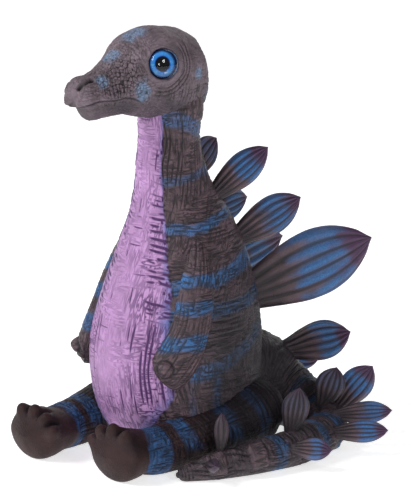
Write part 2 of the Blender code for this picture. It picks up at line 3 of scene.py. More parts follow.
import bpy
import numpy as np
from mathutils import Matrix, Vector


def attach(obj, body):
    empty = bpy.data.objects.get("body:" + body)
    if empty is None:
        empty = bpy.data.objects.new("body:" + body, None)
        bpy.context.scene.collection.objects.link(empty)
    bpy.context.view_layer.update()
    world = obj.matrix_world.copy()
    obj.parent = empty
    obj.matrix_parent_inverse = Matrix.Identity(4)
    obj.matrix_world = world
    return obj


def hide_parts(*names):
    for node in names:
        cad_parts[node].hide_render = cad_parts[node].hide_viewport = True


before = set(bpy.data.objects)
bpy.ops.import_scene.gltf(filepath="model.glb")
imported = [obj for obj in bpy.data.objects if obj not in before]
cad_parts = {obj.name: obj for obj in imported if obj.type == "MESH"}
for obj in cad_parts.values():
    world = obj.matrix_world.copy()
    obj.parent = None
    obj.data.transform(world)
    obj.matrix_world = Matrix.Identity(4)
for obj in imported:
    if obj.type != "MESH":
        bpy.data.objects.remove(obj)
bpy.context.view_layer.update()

bl_info = {
    "name": "Sitting stegosaurus",
    "version": (1, 0, 0),
    "blender": (4, 5, 0),
    "location": "3D View > Sidebar > Stegosaurus",
    "description": "Builds the carved and airbrushed skins of a filled stegosaurus figure",
    "category": "Add Mesh",
}

MM = 0.001
TURN = 2.0 * math.pi

# ---------------------------------------------------------------- forms, lengths in metres
BODY_HEIGHT = 0.114
BODY_HALF_WIDTH = 0.0275
BODY_FRONT = 0.0305
BODY_BACK = 0.0295
NECK_RADIUS = 0.0100
NECK_LEAN = 0.0045
BODY_WALL = 0.0025
PLUG_HOLE = 0.0111
PLUG_RECESS = 0.0131
RECESS_BOTTOM = 0.0026
RECESS_TOP = 0.0036
INNER_FLOOR = 0.0046
INNER_TOP_GAP = 0.0005
HEAD_LENGTH = 0.0535
HEAD_HALF_WIDTH = 0.0132
HEAD_HEIGHT = 0.0310
HEAD_BEHIND_NECK = 0.0130
CHIN_DROP = 0.0080
HEAD_WIDEST = 0.52
TUCK_FROM = -0.0385
EYE_RADIUS = 0.0047
EYE_DEPTH = 0.0030
EYE_RISE = 0.0028
EYE_GAP = 0.0003
DISC_THICKNESS = 0.0012
DISC_DISH = 0.0002
DOME_EDGE = 0.0004
EYE_ALONG_HEAD = 0.472
EYE_ROUND_HEAD = math.radians(74.5)
EYE_TURN = math.radians(66.0)
EYE_LIFT = math.radians(8.0)
ARM_WIDTH = 0.0066
ARM_THICKNESS = 0.0045
LEG_RADIUS = 0.0088
HIP_OUT = 0.66
HIP_BACK = 0.45
LEG_BOW = 0.12
FOOT_HALF_WIDTH = 0.0110
FOOT_HEIGHT = 0.0168
FOOT_PLACES = {"left": (1, 0.0160, 0.0415), "right": (-1, 0.0200, 0.0455)}
TAIL_SWING = 0.0435
TAIL_REACH_BACK = 0.0400
TAIL_TIP_FORWARD = 0.0290
TAIL_RADIUS = 0.0070
PLATE_THICKNESS = 0.0044
# A tail plate with more lift than this faces one way; the others lean with their heading.
UPRIGHT_LIFT = 40.0
UPRIGHT_FACE = -47.0
LEVEL_FACE_LIFT = 30.0

# Height share of the body; shares of half width, front and back depth; share of the lean.
BODY_ROWS = [
    (0.000, 0.84, 0.46, 0.80, 0.0), (0.026, 0.92, 0.61, 0.89, 0.0), (0.080, 0.97, 0.79, 0.95, 0.0),
    (0.160, 0.99, 0.935, 0.975, 0.0), (0.250, 1.00, 1.00, 0.985, 0.0), (0.335, 0.99, 1.00, 1.00, 0.0),
    (0.420, 0.93, 0.92, 0.985, 0.0), (0.510, 0.83, 0.80, 0.93, 0.0), (0.600, 0.70, 0.68, 0.83, 0.0),
    (0.685, 0.565, 0.555, 0.695, 0.1),
]
NECK_ROWS = [
    (0.770, 1.24, 1.33, 1.48, 0.45), (0.860, 1.06, 1.12, 1.20, 0.78), (0.930, 1.00, 1.00, 1.08, 0.9),
    (1.000, 1.00, 0.98, 1.06, 1.0), (1.045, 0.98, 0.96, 1.00, 1.0),
]
# Share of the head's length from behind; share of half width; top and bottom shares of height.
HEAD_ROWS = [
    (0.008, 0.42, 0.65, 0.13), (0.055, 0.70, 0.81, 0.03), (0.160, 0.925, 0.945, 0.00),
    (0.300, 1.00, 1.00, 0.01), (0.430, 0.955, 1.015, 0.05), (0.540, 0.835, 0.945, 0.10),
    (0.655, 0.65, 0.81, 0.12), (0.775, 0.53, 0.66, 0.11), (0.880, 0.485, 0.58, 0.105),
    (0.955, 0.41, 0.51, 0.15), (0.995, 0.20, 0.43, 0.25),
]
# Height share, angle round from the front, share of the body's radius, width and thickness.
ARM_ROWS = [
    (0.650, 77.0, 0.72, 0.5, 0.7), (0.588, 71.0, 0.86, 0.8, 0.9), (0.525, 67.0, 0.89, 0.95, 1.0),
    (0.465, 63.0, 0.915, 1.0, 1.0), (0.400, 59.0, 0.935, 1.0, 1.0), (0.335, 52.0, 0.965, 1.10, 1.0),
    (0.290, 45.0, 1.02, 1.05, 0.9), (0.268, 40.0, 1.05, 0.70, 0.5),
]
# Way from hip to ankle; shares of the leg's radius to the side, up and down; height share.
LEG_ROWS = [
    (-0.18, 0.80, 0.70, 1.00, 0.70), (-0.10, 1.45, 1.05, 1.50, 0.80), (0.00, 1.78, 1.28, 1.65, 0.85),
    (0.14, 1.80, 1.28, 1.60, 0.82), (0.30, 1.56, 1.10, 1.40, 0.72), (0.45, 1.27, 0.94, 1.20, 0.62),
    (0.60, 1.05, 0.84, 1.04, 0.54), (0.76, 0.92, 0.80, 0.98, 0.50),
]
FOOT_ROWS = [(-0.14, 0.93, 0.90), (-0.06, 1.00, 1.00), (0.05, 0.93, 0.93), (0.105, 0.66, 0.66)]
# Shares of the swing, of the reach behind (+) or forward (-), and of the tail's radius.
TAIL_ROWS = [
    (0.05, 0.49, 3.10, 2.40), (0.12, 0.80, 2.85, 2.08), (0.32, 0.99, 1.78, 1.50),
    (0.61, 1.01, 1.23, 1.14), (0.89, 0.80, 1.00, 1.00), (1.00, 0.44, 0.91, 0.91),
    (0.975, 0.02, 0.83, 0.84), (0.845, -0.57, 0.63, 0.66), (0.695, -1.00, 0.34, 0.29),
]
# Height share, angle from the back, splay and lift in degrees, length and width.
BACK_PLATES = {
    "back_plate_left_1": (0.750, 27.0, 28.0, 39.0, 0.0225, 0.0115),
    "back_plate_left_2": (0.610, 24.0, 29.0, 30.0, 0.0240, 0.0135),
    "back_plate_left_3": (0.440, 23.0, 30.0, 21.5, 0.0440, 0.0240),
    "back_plate_right_1": (0.800, -18.0, -2.0, 42.0, 0.0150, 0.0120),
    "back_plate_right_2": (0.660, -22.0, -3.0, 8.0, 0.0195, 0.0120),
    "back_plate_right_3": (0.480, -20.0, -5.0, 9.0, 0.0350, 0.0180),
    "back_plate_right_4": (0.330, -26.0, -18.0, 6.0, 0.0300, 0.0190),
}
# Place along the tail, turn from its top outwards, heading, lift, length, width, thickness.
TAIL_PLATES = {
    "tail_plate_inner_1": (0.175, 0.0, 60.0, 12.0, 0.0215, 0.0140, 0.0044),
    "tail_plate_outer_1": (0.150, 70.0, 72.0, -14.0, 0.0220, 0.0110, 0.0038),
    "tail_plate_outer_2": (0.430, 45.0, 47.0, 50.0, 0.0170, 0.0110, 0.0038),
    "tail_plate_inner_2": (0.450, -6.0, 50.0, 70.0, 0.0125, 0.0100, 0.0036),
    "tail_plate_outer_3": (0.500, 44.0, 44.0, 6.0, 0.0172, 0.0078, 0.0031),
    "tail_plate_outer_4": (0.555, 75.0, 42.0, 4.0, 0.0165, 0.0078, 0.0030),
    "tail_plate_inner_3": (0.675, -5.0, 47.0, 80.0, 0.0140, 0.0090, 0.0036),
    "tail_plate_outer_5": (0.700, 72.0, 40.0, -2.0, 0.0115, 0.0075, 0.0032),
    "tail_spike_inner": (0.860, -10.0, 120.0, 84.0, 0.0120, 0.0048, 0.0044),
    "tail_spike_outer": (0.900, 60.0, -32.0, 14.0, 0.0085, 0.0046, 0.0042),
}
LEAF_ROWS = [(-0.30, 0.40), (0.0, 0.58), (0.20, 0.80), (0.42, 0.97), (0.60, 0.97), (0.78, 0.75),
             (0.92, 0.38), (1.0, 0.09)]

# Height on the body in mm and how far round from the front the lilac belly reaches, degrees.
BELLY_EDGE = [(0.0, 12.0), (5.0, 17.0), (12.0, 27.0), (20.0, 41.0), (27.0, 49.0), (32.0, 50.0),
              (45.0, 46.0), (59.0, 43.0), (74.0, 38.5), (87.0, 35.5), (103.0, 37.0), (120.0, 38.0)]
# Height of a blue band beside the belly and at the back, its half height in mm, its strength.
BODY_BANDS = [(112.5, 108.0, 2.8, 0.75), (92.5, 94.5, 1.5, 0.55), (77.0, 80.0, 1.8, 0.95),
              (59.5, 64.5, 2.6, 1.0), (50.5, 52.5, 2.4, 0.95), (31.0, 42.5, 2.8, 0.9)]
# Middle and half length in mm: of the blue on a leg, back from the sole, and on an arm, up from
# the ground.
ANKLE_BAND = (17.5, 3.0)
LEG_STREAKS = ((27.0, 2.6), (41.0, 2.2), (51.0, 2.2))
ARM_BANDS = ((61.5, 2.1), (53.0, 2.4), (42.5, 2.5))
# Middle and half length, as shares of the tail: blue bands, and smooth raised blocks.
TAIL_BANDS = ((0.30, 0.016), (0.40, 0.018), (0.53, 0.020), (0.60, 0.012), (0.735, 0.018))
TAIL_BLOCKS = ((0.885, 0.020), (0.790, 0.016))
# In mm: how far the middles of the toes are back from the sole, and the radius round the foot
# at which the width of a cleft is measured.
TOE_BACK = 3.9
CLEFT_RADIUS = 8.5
# Degrees round the end of the left foot from its inner side: toes, and the clefts between them.
# The right foot mirrors them.
TOES = (22.0, 52.0, 84.0, 118.0)
CLEFTS = (37.0, 68.0, 101.0)
# Colours are sRGB hex.
PALETTE = {
    "brown": ("#55434a", "Brown skin paint"),
    "brown_dark": ("#17131a", "Brown in the shade of the carving"),
    # The head's brown is a greyer paint, and also lighter than the body's brown as painted light from above.
    "head_brown_with_painted_light": ("#6c5d66", "Greyer brown of the head, lighter as painted light"),
    "blue": ("#2b5a8c", "Airbrushed blue stripe"),
    "head_blue": ("#6a87a8", "Thin blue mist on the head"),
    "lilac": ("#c597cd", "Lilac belly"),
    "lilac_deep": ("#4d2760", "Lilac wash in the cuts"),
    "edge_blue": ("#6c74b4", "Blue mist along the belly's edge"),
    "plum": ("#4d3052", "Plum tips of the plates"),
    # Painted shade: a dark blue laid low on the body's sides and back, on the haunches, over the tail and
    # under the head.
    "painted_shade": ("#191a22", "Painted shade low on the sides"),
    "foot": ("#2d1d1e", "Plain brown of the feet"),
}
# How strongly blue is misted on the plates that have less of it than the rest.
PLATE_MIST = {"back_plate_right_1": 0.45, "tail_plate_inner_2": 0.35, "tail_plate_inner_3": 0.2,
              "tail_plate_outer_5": 0.7, "tail_spike_inner": 0.05, "tail_spike_outer": 0.05}


def linear(code):
    """sRGB hex to linear: a share s is s/12.92 up to 0.04045 and ((s+0.055)/1.055)^2.4 above."""
    shares = [int(code[i:i + 2], 16) / 255.0 for i in (1, 3, 5)]
    return tuple(s / 12.92 if s <= 0.04045 else ((s + 0.055) / 1.055) ** 2.4 for s in shares)


# ---------------------------------------------------------------- sizes and colours to change
class StegosaurusSizes(bpy.types.PropertyGroup):
    groove_depth: bpy.props.FloatProperty(
        name="Groove depth", description="Depth of the carved lines on the body",
        default=0.00044, min=0.0, max=0.001, unit="LENGTH", precision=5)
    groove_pitch: bpy.props.FloatProperty(
        name="Groove pitch", description="Distance between the carved lines",
        default=0.00140, min=0.0008, max=0.004, unit="LENGTH", precision=5)
    scale_size: bpy.props.FloatProperty(
        name="Scale size", description="Width of one scale in front of the eye",
        default=0.00125, min=0.0006, max=0.003, unit="LENGTH", precision=5)
    flute_depth: bpy.props.FloatProperty(
        name="Flute depth", description="Depth of the flutes on the plates",
        default=0.00042, min=0.0, max=0.001, unit="LENGTH", precision=5)
    lid_height: bpy.props.FloatProperty(
        name="Lid height", description="How far the ring of the eyelid stands up",
        default=0.00075, min=0.0, max=0.002, unit="LENGTH", precision=5)
    detail: bpy.props.FloatProperty(
        name="Detail", description="Share of the full number of faces",
        default=1.0, min=0.2, max=1.0, subtype="FACTOR")


def colour_property(key):
    code, words = PALETTE[key]
    return bpy.props.FloatVectorProperty(
        name=words, description=words, default=linear(code), size=3, min=0.0, max=1.0, subtype="COLOR")


class StegosaurusColours(bpy.types.PropertyGroup):
    brown: colour_property("brown")
    brown_dark: colour_property("brown_dark")
    head_brown_with_painted_light: colour_property("head_brown_with_painted_light")
    blue: colour_property("blue")
    head_blue: colour_property("head_blue")
    lilac: colour_property("lilac")
    lilac_deep: colour_property("lilac_deep")
    edge_blue: colour_property("edge_blue")
    plum: colour_property("plum")
    painted_shade: colour_property("painted_shade")
    foot: colour_property("foot")


def sizes():
    return bpy.context.scene.stegosaurus_sizes


def colour(key):
    return (*getattr(bpy.context.scene.stegosaurus_colours, key), 1.0)


# ---------------------------------------------------------------- curves, noise and surfaces
def through(rows, places):
    """Cubic Hermite curve through rows of (place, values...), with central slopes, at places."""
    rows = np.asarray(rows, float)
    x, y = rows[:, 0], rows[:, 1:]
    slope = np.gradient(y, x, axis=0)
    places = np.clip(np.asarray(places, float), x[0], x[-1])
    i = np.clip(np.searchsorted(x, places, side="right") - 1, 0, len(x) - 2)
    span = (x[i + 1] - x[i])[..., None]
    s = (places - x[i])[..., None] / span
    start = (2 * s**3 - 3 * s**2 + 1) * y[i] + (s**3 - 2 * s**2 + s) * slope[i] * span
    end = (3 * s**2 - 2 * s**3) * y[i + 1] + (s**3 - s**2) * slope[i + 1] * span
    return start + end


def step(low, high, value):
    """Smooth step: 0 below low, 1 above high, 3t^2 - 2t^3 between."""
    t = np.clip((value - low) / (high - low), 0.0, 1.0)
    return t * t * (3.0 - 2.0 * t)


def bell(value, width):
    """Gaussian exp(-(value/width)^2)."""
    return np.exp(-(value / width) ** 2)


def mound(points, middle, scale, width):
    """Gaussian of the distance from points to a middle, with each axis scaled first."""
    return bell(np.linalg.norm((points - np.array(middle)) * np.array(scale), axis=-1), width)


def noise(points, cell, seed):
    """Value noise from -1 to 1: random values on a lattice of cells, blended by smooth steps."""
    n = 32
    lattice = np.random.default_rng(seed).uniform(-1.0, 1.0, (n, n, n))
    place = np.asarray(points) / cell
    base = np.floor(place).astype(int)
    f = place - base
    f = f * f * (3.0 - 2.0 * f)
    total = 0.0
    for dx in (0, 1):
        for dy in (0, 1):
            for dz in (0, 1):
                weight = (np.where(dx, f[..., 0], 1 - f[..., 0]) * np.where(dy, f[..., 1], 1 - f[..., 1])
                          * np.where(dz, f[..., 2], 1 - f[..., 2]))
                total = total + weight * lattice[(base[..., 0] + dx) % n, (base[..., 1] + dy) % n,
                                                 (base[..., 2] + dz) % n]
    return total


def layered(points, cell, seed):
    """Three octaves of value noise, each half the size and half the height of the last."""
    return (noise(points, cell, seed) + 0.5 * noise(points, cell / 2, seed + 1)
            + 0.25 * noise(points, cell / 4, seed + 2)) / 1.75


def cells(points, cell, seed):
    """Distance to the second nearest of jittered lattice points less the nearest, in cells."""
    n = 32
    jitter = np.random.default_rng(seed).uniform(0.1, 0.9, (n, n, n, 3))
    place = np.asarray(points) / cell
    base = np.floor(place).astype(int)
    first = np.full(place.shape[:-1], 9.0)
    second = np.full(place.shape[:-1], 9.0)
    for dx in (-1, 0, 1):
        for dy in (-1, 0, 1):
            for dz in (-1, 0, 1):
                corner = base + np.array((dx, dy, dz))
                spot = corner + jitter[corner[..., 0] % n, corner[..., 1] % n, corner[..., 2] % n]
                away = np.sqrt(((place - spot) ** 2).sum(-1))
                second = np.minimum(second, np.maximum(first, away))
                first = np.minimum(first, away)
    return second - first


def lines(across, along, pitch, width, dash, seed):
    """Cut lines: bells round every pitch of across, broken along by noise of the dash length.

    The line nearest a point is number round(across/pitch); each has its own random offset."""
    number = np.round(across / pitch)
    shift = noise(np.stack([number * 7.31, number * 0.0, number * 0.0], -1), 1.0, seed) * 0.22 * pitch
    near = np.abs(across - number * pitch - shift)
    broken = noise(np.stack([along / dash, number * 3.17, number * 1.7], -1), 1.0, seed + 1)
    return bell(near, width) * step(-0.35, 0.1, broken)


def surface_normals(grid, outward=None):
    """Unit cross product of the grid's two tangents; columns wrap round."""
    around = np.roll(grid, -1, 1) - np.roll(grid, 1, 1)
    down = np.gradient(grid, axis=0)
    normal = np.cross(around, down)
    normal /= np.linalg.norm(normal, axis=-1, keepdims=True) + 1e-12
    middle = grid.mean((0, 1)) if outward is None else outward
    if ((grid - middle) * normal).sum() < 0:
        normal = -normal
    return normal


def count(number):
    """A number of rows or columns, cut down for a quick look or a lower detail."""
    share = sizes().detail * 1.0
    return max(12, int(number * share))


def make_piece(name, grid, masks, material, node, loop=False):
    """Mesh from a grid of points whose columns wrap round, with its masks as attributes.

    Rows close on themselves for a loop; otherwise each end closes on the mean of its ring."""
    rows, columns = grid.shape[:2]
    index = np.arange(rows * columns).reshape(rows, columns)
    upper = index if loop else index[:-1]
    lower = np.roll(index, -1, 0) if loop else index[1:]
    quads = np.stack([upper, lower, np.roll(lower, -1, 1), np.roll(upper, -1, 1)], -1).reshape(-1, 4)
    points = grid.reshape(-1, 3)
    values = {key: np.broadcast_to(mask, grid.shape[:2]).reshape(-1) for key, mask in masks.items()}
    triangles = np.zeros((0, 3), int)
    if not loop:
        poles = np.stack([grid[0].mean(0), grid[-1].mean(0)])
        top, bottom = rows * columns, rows * columns + 1
        first, last = index[0], index[-1]
        triangles = np.concatenate([
            np.stack([np.full(columns, top), first, np.roll(first, -1)], -1),
            np.stack([np.full(columns, bottom), np.roll(last, -1), last], -1)])
        values = {key: np.concatenate([v, [v[:columns].mean(), v[-columns:].mean()]])
                  for key, v in values.items()}
        points = np.concatenate([points, poles])
    corner = np.concatenate([quads[:, (0, 1, 2)], quads[:, (0, 2, 3)], triangles])
    a, b, c = points[corner[:, 0]], points[corner[:, 1]], points[corner[:, 2]]
    if (a * np.cross(b, c)).sum() < 0:
        quads, triangles = quads[:, ::-1], triangles[:, ::-1]
    mesh = bpy.data.meshes.new(name)
    mesh.from_pydata(points.tolist(), [], quads.tolist() + triangles.tolist())
    mesh.shade_smooth()
    for key, mask in values.items():
        attribute = mesh.attributes.new(key, "FLOAT", "POINT")
        attribute.data.foreach_set("value", np.ascontiguousarray(mask, np.float32))
    piece = bpy.data.objects.new(name, mesh)
    bpy.context.scene.collection.objects.link(piece)
    mesh.materials.append(material)
    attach(piece, "root")
    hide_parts(node)
    return piece


def carving(points, across, up, pitch, depth, seed, upright=0.5):
    """Carved skin: level lines everywhere, upright lines in patches, both with wavering phase.

    Returns the depth to cut in metres and how much dark wash sits in the cuts, 0 to 1."""
    waver = noise(points, 7 * MM, seed) * 0.9 * MM
    patch = step(upright - 0.12, upright + 0.12, noise(points, 9 * MM, seed + 3) * 0.5 + 0.5)
    level = lines(up + waver, across, pitch, 0.27 * pitch, 4 * MM, seed + 5) * (1 - 0.55 * patch)
    erect = lines(across + waver, up, pitch * 1.05, 0.25 * pitch, 5 * MM, seed + 9) * patch
    pits = (step(0.35, 0.8, noise(points, 1.3 * MM, seed + 13))
            * step(0.0, 0.5, noise(points, 8 * MM, seed + 15)))
    cut = np.maximum(np.maximum(level, erect), 0.8 * pits)
    rough = layered(points, 2.2 * MM, seed + 17)
    return depth * (cut + 0.35 * rough), np.clip(cut, 0, 1)


# ---------------------------------------------------------------- materials
def add(tree, kind, settings=()):
    """Adds one node and sets its properties and inputs; an output given as a value is linked in."""
    node = tree.nodes.new(kind)
    for key, value in dict(settings).items():
        if isinstance(value, bpy.types.NodeSocket):
            tree.links.new(value, node.inputs[key])
        elif isinstance(key, int) or key in node.inputs:
            node.inputs[key].default_value = value
        else:
            setattr(node, key, value)
    return node


def new_material(name):
    material = bpy.data.materials.new(name)
    material.use_nodes = True
    tree = material.node_tree
    return material, tree, tree.nodes["Principled BSDF"]


def mask_socket(tree, name, low=0.0, high=1.0):
    """An attribute of the mesh, stretched so that low gives 0 and high gives 1."""
    found = add(tree, "ShaderNodeAttribute", {"attribute_name": name})
    return add(tree, "ShaderNodeMapRange",
               {"From Min": low, "From Max": high, "Value": found.outputs["Fac"]}).outputs[0]


def speckle(tree, size, detail=3.0, low=0.3, high=0.7):
    """Noise on Object coordinates with grains of about the size, stretched to 0 to 1."""
    place = add(tree, "ShaderNodeTexCoord")
    grain = add(tree, "ShaderNodeTexNoise",
                {"Scale": 1.0 / size, "Detail": detail, "Vector": place.outputs["Object"]})
    return add(tree, "ShaderNodeMapRange",
               {"From Min": low, "From Max": high, "Value": grain.outputs["Fac"]}).outputs[0]


def threads(tree, stretch, grid):
    """Thin cut lines: 1 where stretched noise n is near its middle value, by |n - 0.5|."""
    squeeze = add(tree, "ShaderNodeMapping", {"Scale": stretch, "Vector": grid})
    grain = add(tree, "ShaderNodeTexNoise",
                {"Scale": 1.0, "Detail": 1.0, "Distortion": 0.1, "Vector": squeeze.outputs["Vector"]})
    swing = add(tree, "ShaderNodeMath", {"operation": "SUBTRACT", 0: grain.outputs["Fac"], 1: 0.5})
    away = add(tree, "ShaderNodeMath", {"operation": "ABSOLUTE", 0: swing.outputs[0]})
    return add(tree, "ShaderNodeMapRange",
               {"From Min": 0.085, "From Max": 0.030, "Value": away.outputs[0]}).outputs[0]


def tooled(tree):
    """Marks of a modelling tool: level threads, upright threads in patches, and small pits.

    The mesh carries its own grid, across and up, so the marks follow the form. The pits are
    about 1.5 mm apart, a little coarser than real ones, so that they still show."""
    across = add(tree, "ShaderNodeAttribute", {"attribute_name": "across"})
    up = add(tree, "ShaderNodeAttribute", {"attribute_name": "up"})
    grid = add(tree, "ShaderNodeCombineXYZ", {"X": across.outputs["Fac"], "Y": up.outputs["Fac"]}).outputs[0]
    level = threads(tree, (0.17, 0.72, 1.0), grid)
    upright = threads(tree, (0.72, 0.15, 1.0), grid)
    pits = add(tree, "ShaderNodeTexVoronoi", {"Scale": 0.66, "Randomness": 0.40, "Vector": grid})
    hole = add(tree, "ShaderNodeMapRange",
               {"From Min": 0.33, "From Max": 0.20, "Value": pits.outputs["Distance"]}).outputs[0]
    here = speckle(tree, 9.0 * MM, 1.0, 0.42, 0.54)
    there = speckle(tree, 6.0 * MM, 1.0, 0.42, 0.52)
    swapped = add(tree, "ShaderNodeMath", {"operation": "SUBTRACT", 0: 1.0, 1: here}).outputs[0]
    marks = None
    for mark, where in ((level, swapped), (upright, here), (hole, there)):
        shown = add(tree, "ShaderNodeMath", {"operation": "MULTIPLY", 0: mark, 1: where}).outputs[0]
        if marks is not None:
            shown = add(tree, "ShaderNodeMath", {"operation": "MAXIMUM", 0: marks, 1: shown}).outputs[0]
        marks = shown
    return marks


def painted_vinyl(name, base, blue, roughness=(0.42, 0.62), lilac=False, tip=False, nick=0.85,
                  smooth_feet=False, gloss=0.42):
    """Soft vinyl, slush moulded and painted by airbrush with a dark wash rubbed into its cuts.

    The paint is satin: it keeps a broad soft highlight, and its colour drifts a little."""
    material, tree, shader = new_material(name)
    drift = speckle(tree, 6.0 * MM)
    fine = speckle(tree, 0.5 * MM, 4.0)
    darker = [c * 0.62 for c in base[:3]] + [1.0]
    lighter = [min(1.0, c * 1.65) for c in base[:3]] + [1.0]
    blue_pale = [min(1.0, c * 1.75) for c in blue[:3]] + [1.0]
    mist = add(tree, "ShaderNodeMix", {"data_type": "RGBA", 0: fine, 6: blue, 7: blue_pale}).outputs[2]
    patchy = add(tree, "ShaderNodeMath", {"operation": "MULTIPLY", 0: fine, 1: 0.42}).outputs[0]
    marks = tooled(tree) if nick else fine
    nicks = add(tree, "ShaderNodeMath", {"operation": "MULTIPLY", 0: marks, 1: nick}).outputs[0]
    if smooth_feet:
        nicks = add(tree, "ShaderNodeMath",
                    {"operation": "MULTIPLY", 0: nicks, 1: mask_socket(tree, "worn")}).outputs[0]
    cuts = add(tree, "ShaderNodeMath",
               {"operation": "MAXIMUM", 0: mask_socket(tree, "groove", 0.15, 0.75), 1: nicks}).outputs[0]
    # The groove mask carries the dark wash in the cuts, and on the head also the painted shade of the lower
    # jaw.
    wash = add(tree, "ShaderNodeMath", {"operation": "MULTIPLY", 0: cuts, 1: 0.90}).outputs[0]
    # Plates take plum on their tips; every other skin takes a coat of painted shade where its mask says.
    last = ("tip", "plum") if tip else ("painted_shade", "painted_shade")
    coats = [(drift, lighter), (patchy, lighter), (mask_socket(tree, "blue"), mist),
             (mask_socket(tree, last[0]), colour(last[1])), (wash, colour("brown_dark"))]
    skin = darker
    if lilac:
        pale = colour("lilac")
        belly = [c * 0.72 for c in pale[:3]] + [1.0]
        worn = add(tree, "ShaderNodeMath",
                   {"operation": "MULTIPLY", 0: nicks, 1: mask_socket(tree, "worn")}).outputs[0]
        light_cuts = add(tree, "ShaderNodeMath",
                         {"operation": "MAXIMUM", 0: mask_socket(tree, "groove", 0.15, 0.52),
                          1: worn}).outputs[0]
        for share, paint in ((drift, pale), (mask_socket(tree, "edge"), colour("edge_blue")),
                             (light_cuts, colour("lilac_deep"))):
            belly = add(tree, "ShaderNodeMix", {"data_type": "RGBA", 0: share, 6: belly, 7: paint}).outputs[2]
        coats.append((mask_socket(tree, "belly"), belly))
    for share, paint in coats:
        skin = add(tree, "ShaderNodeMix", {"data_type": "RGBA", 0: share, 6: skin, 7: paint}).outputs[2]
    tree.links.new(skin, shader.inputs["Base Color"])
    sheen = add(tree, "ShaderNodeMapRange", {"To Min": roughness[0], "To Max": roughness[1], "Value": fine})
    tree.links.new(sheen.outputs[0], shader.inputs["Roughness"])
    shader.inputs["IOR"].default_value = 1.50
    shader.inputs["Specular IOR Level"].default_value = gloss
    rough = add(tree, "ShaderNodeMath", {"operation": "MULTIPLY", 0: fine, 1: 0.5}).outputs[0]
    relief = add(tree, "ShaderNodeMath", {"operation": "SUBTRACT", 0: rough, 1: nicks}).outputs[0]
    pores = add(tree, "ShaderNodeBump", {"Strength": 0.9, "Distance": 0.22 * MM, "Height": relief})
    tree.links.new(pores.outputs[0], shader.inputs["Normal"])
    return material


def shared_material(name, *settings, **options):
    """The material of that name, made on its first use."""
    found = bpy.data.materials.get(name)
    return found if found else painted_vinyl(name, *settings, **options)


def body_vinyl():
    return shared_material("painted_vinyl_body", colour("brown"), colour("blue"), lilac=True)


def plate_vinyl():
    return shared_material("airbrushed_vinyl_plates", colour("brown"), colour("blue"), (0.36, 0.5), tip=True,
                           nick=0.0)


# ---------------------------------------------------------------- body and neck
def body_stations():
    """Rows of height, centre y, half width, front depth and back depth, in metres."""
    rows = [(h * BODY_HEIGHT, -lean * NECK_LEAN, side * BODY_HALF_WIDTH, front * BODY_FRONT, back * BODY_BACK)
            for h, side, front, back, lean in BODY_ROWS]
    rows += [(h * BODY_HEIGHT, -lean * NECK_LEAN, side * NECK_RADIUS, front * NECK_RADIUS, back * NECK_RADIUS)
             for h, side, front, back, lean in NECK_ROWS]
    return rows


STATIONS = body_stations()
NECK_TOP = STATIONS[-1][0]


def body_surface(height, angle, grow=0.0):
    """Body: x = side sin a, y = centre - depth cos a, each size read from the height's row."""
    row = through(STATIONS, height)
    depth = np.where(np.cos(angle) > 0, row[..., 2], row[..., 3]) + grow
    side = row[..., 1] + grow
    return np.stack([side * np.sin(angle), row[..., 0] - depth * np.cos(angle),
                     np.broadcast_to(height, np.shape(angle))], -1)


def body_masks(points, angle):
    """Belly, belly edge and blue bands as shares from 0 to 1 over the body."""
    z = points[..., 2] / MM
    turn = np.degrees(np.abs((angle + math.pi) % TURN - math.pi))
    edge = through(BELLY_EDGE, z)[..., 0] + 1.6 * noise(points, 3.0 * MM, 21)
    belly = step(1.3, -1.3, turn - edge)
    reach = 4.0 + 3.0 * noise(points, 5 * MM, 25) + 5.0 * bell(z - 42.0, 17.0) + 10 * bell(z - 14.0, 8.0)
    mist = step(-reach - 3.0, -0.5, turn - edge) * (0.62 + 0.4 * noise(points, 1.6 * MM, 27)
                                                    + 0.35 * bell(z - 45.0, 20.0))
    back = step(60.0, 135.0, turn)
    blue = np.zeros_like(z)
    waver = 1.1 * layered(points, 6 * MM, 31)
    for side, rear, half, strength in BODY_BANDS:
        middle = side + (rear - side) * back
        blue = np.maximum(blue, strength * step(1.25, 0.55, np.abs(z - middle - waver) / half))
    thigh = step(38.0, 30.0, z) * step(52, 66, turn) * step(130, 100, turn)
    streak = lines(turn, z, 15.0, 2.6, 12.0, 35) * thigh
    blue = np.maximum(blue, 0.85 * streak)
    blue *= 0.80 + 0.32 * noise(points * np.array((1, 1, 2.5)), 2.0 * MM, 33)
    return belly, np.clip(mist, 0, 1), np.clip(blue, 0, 1), turn, edge


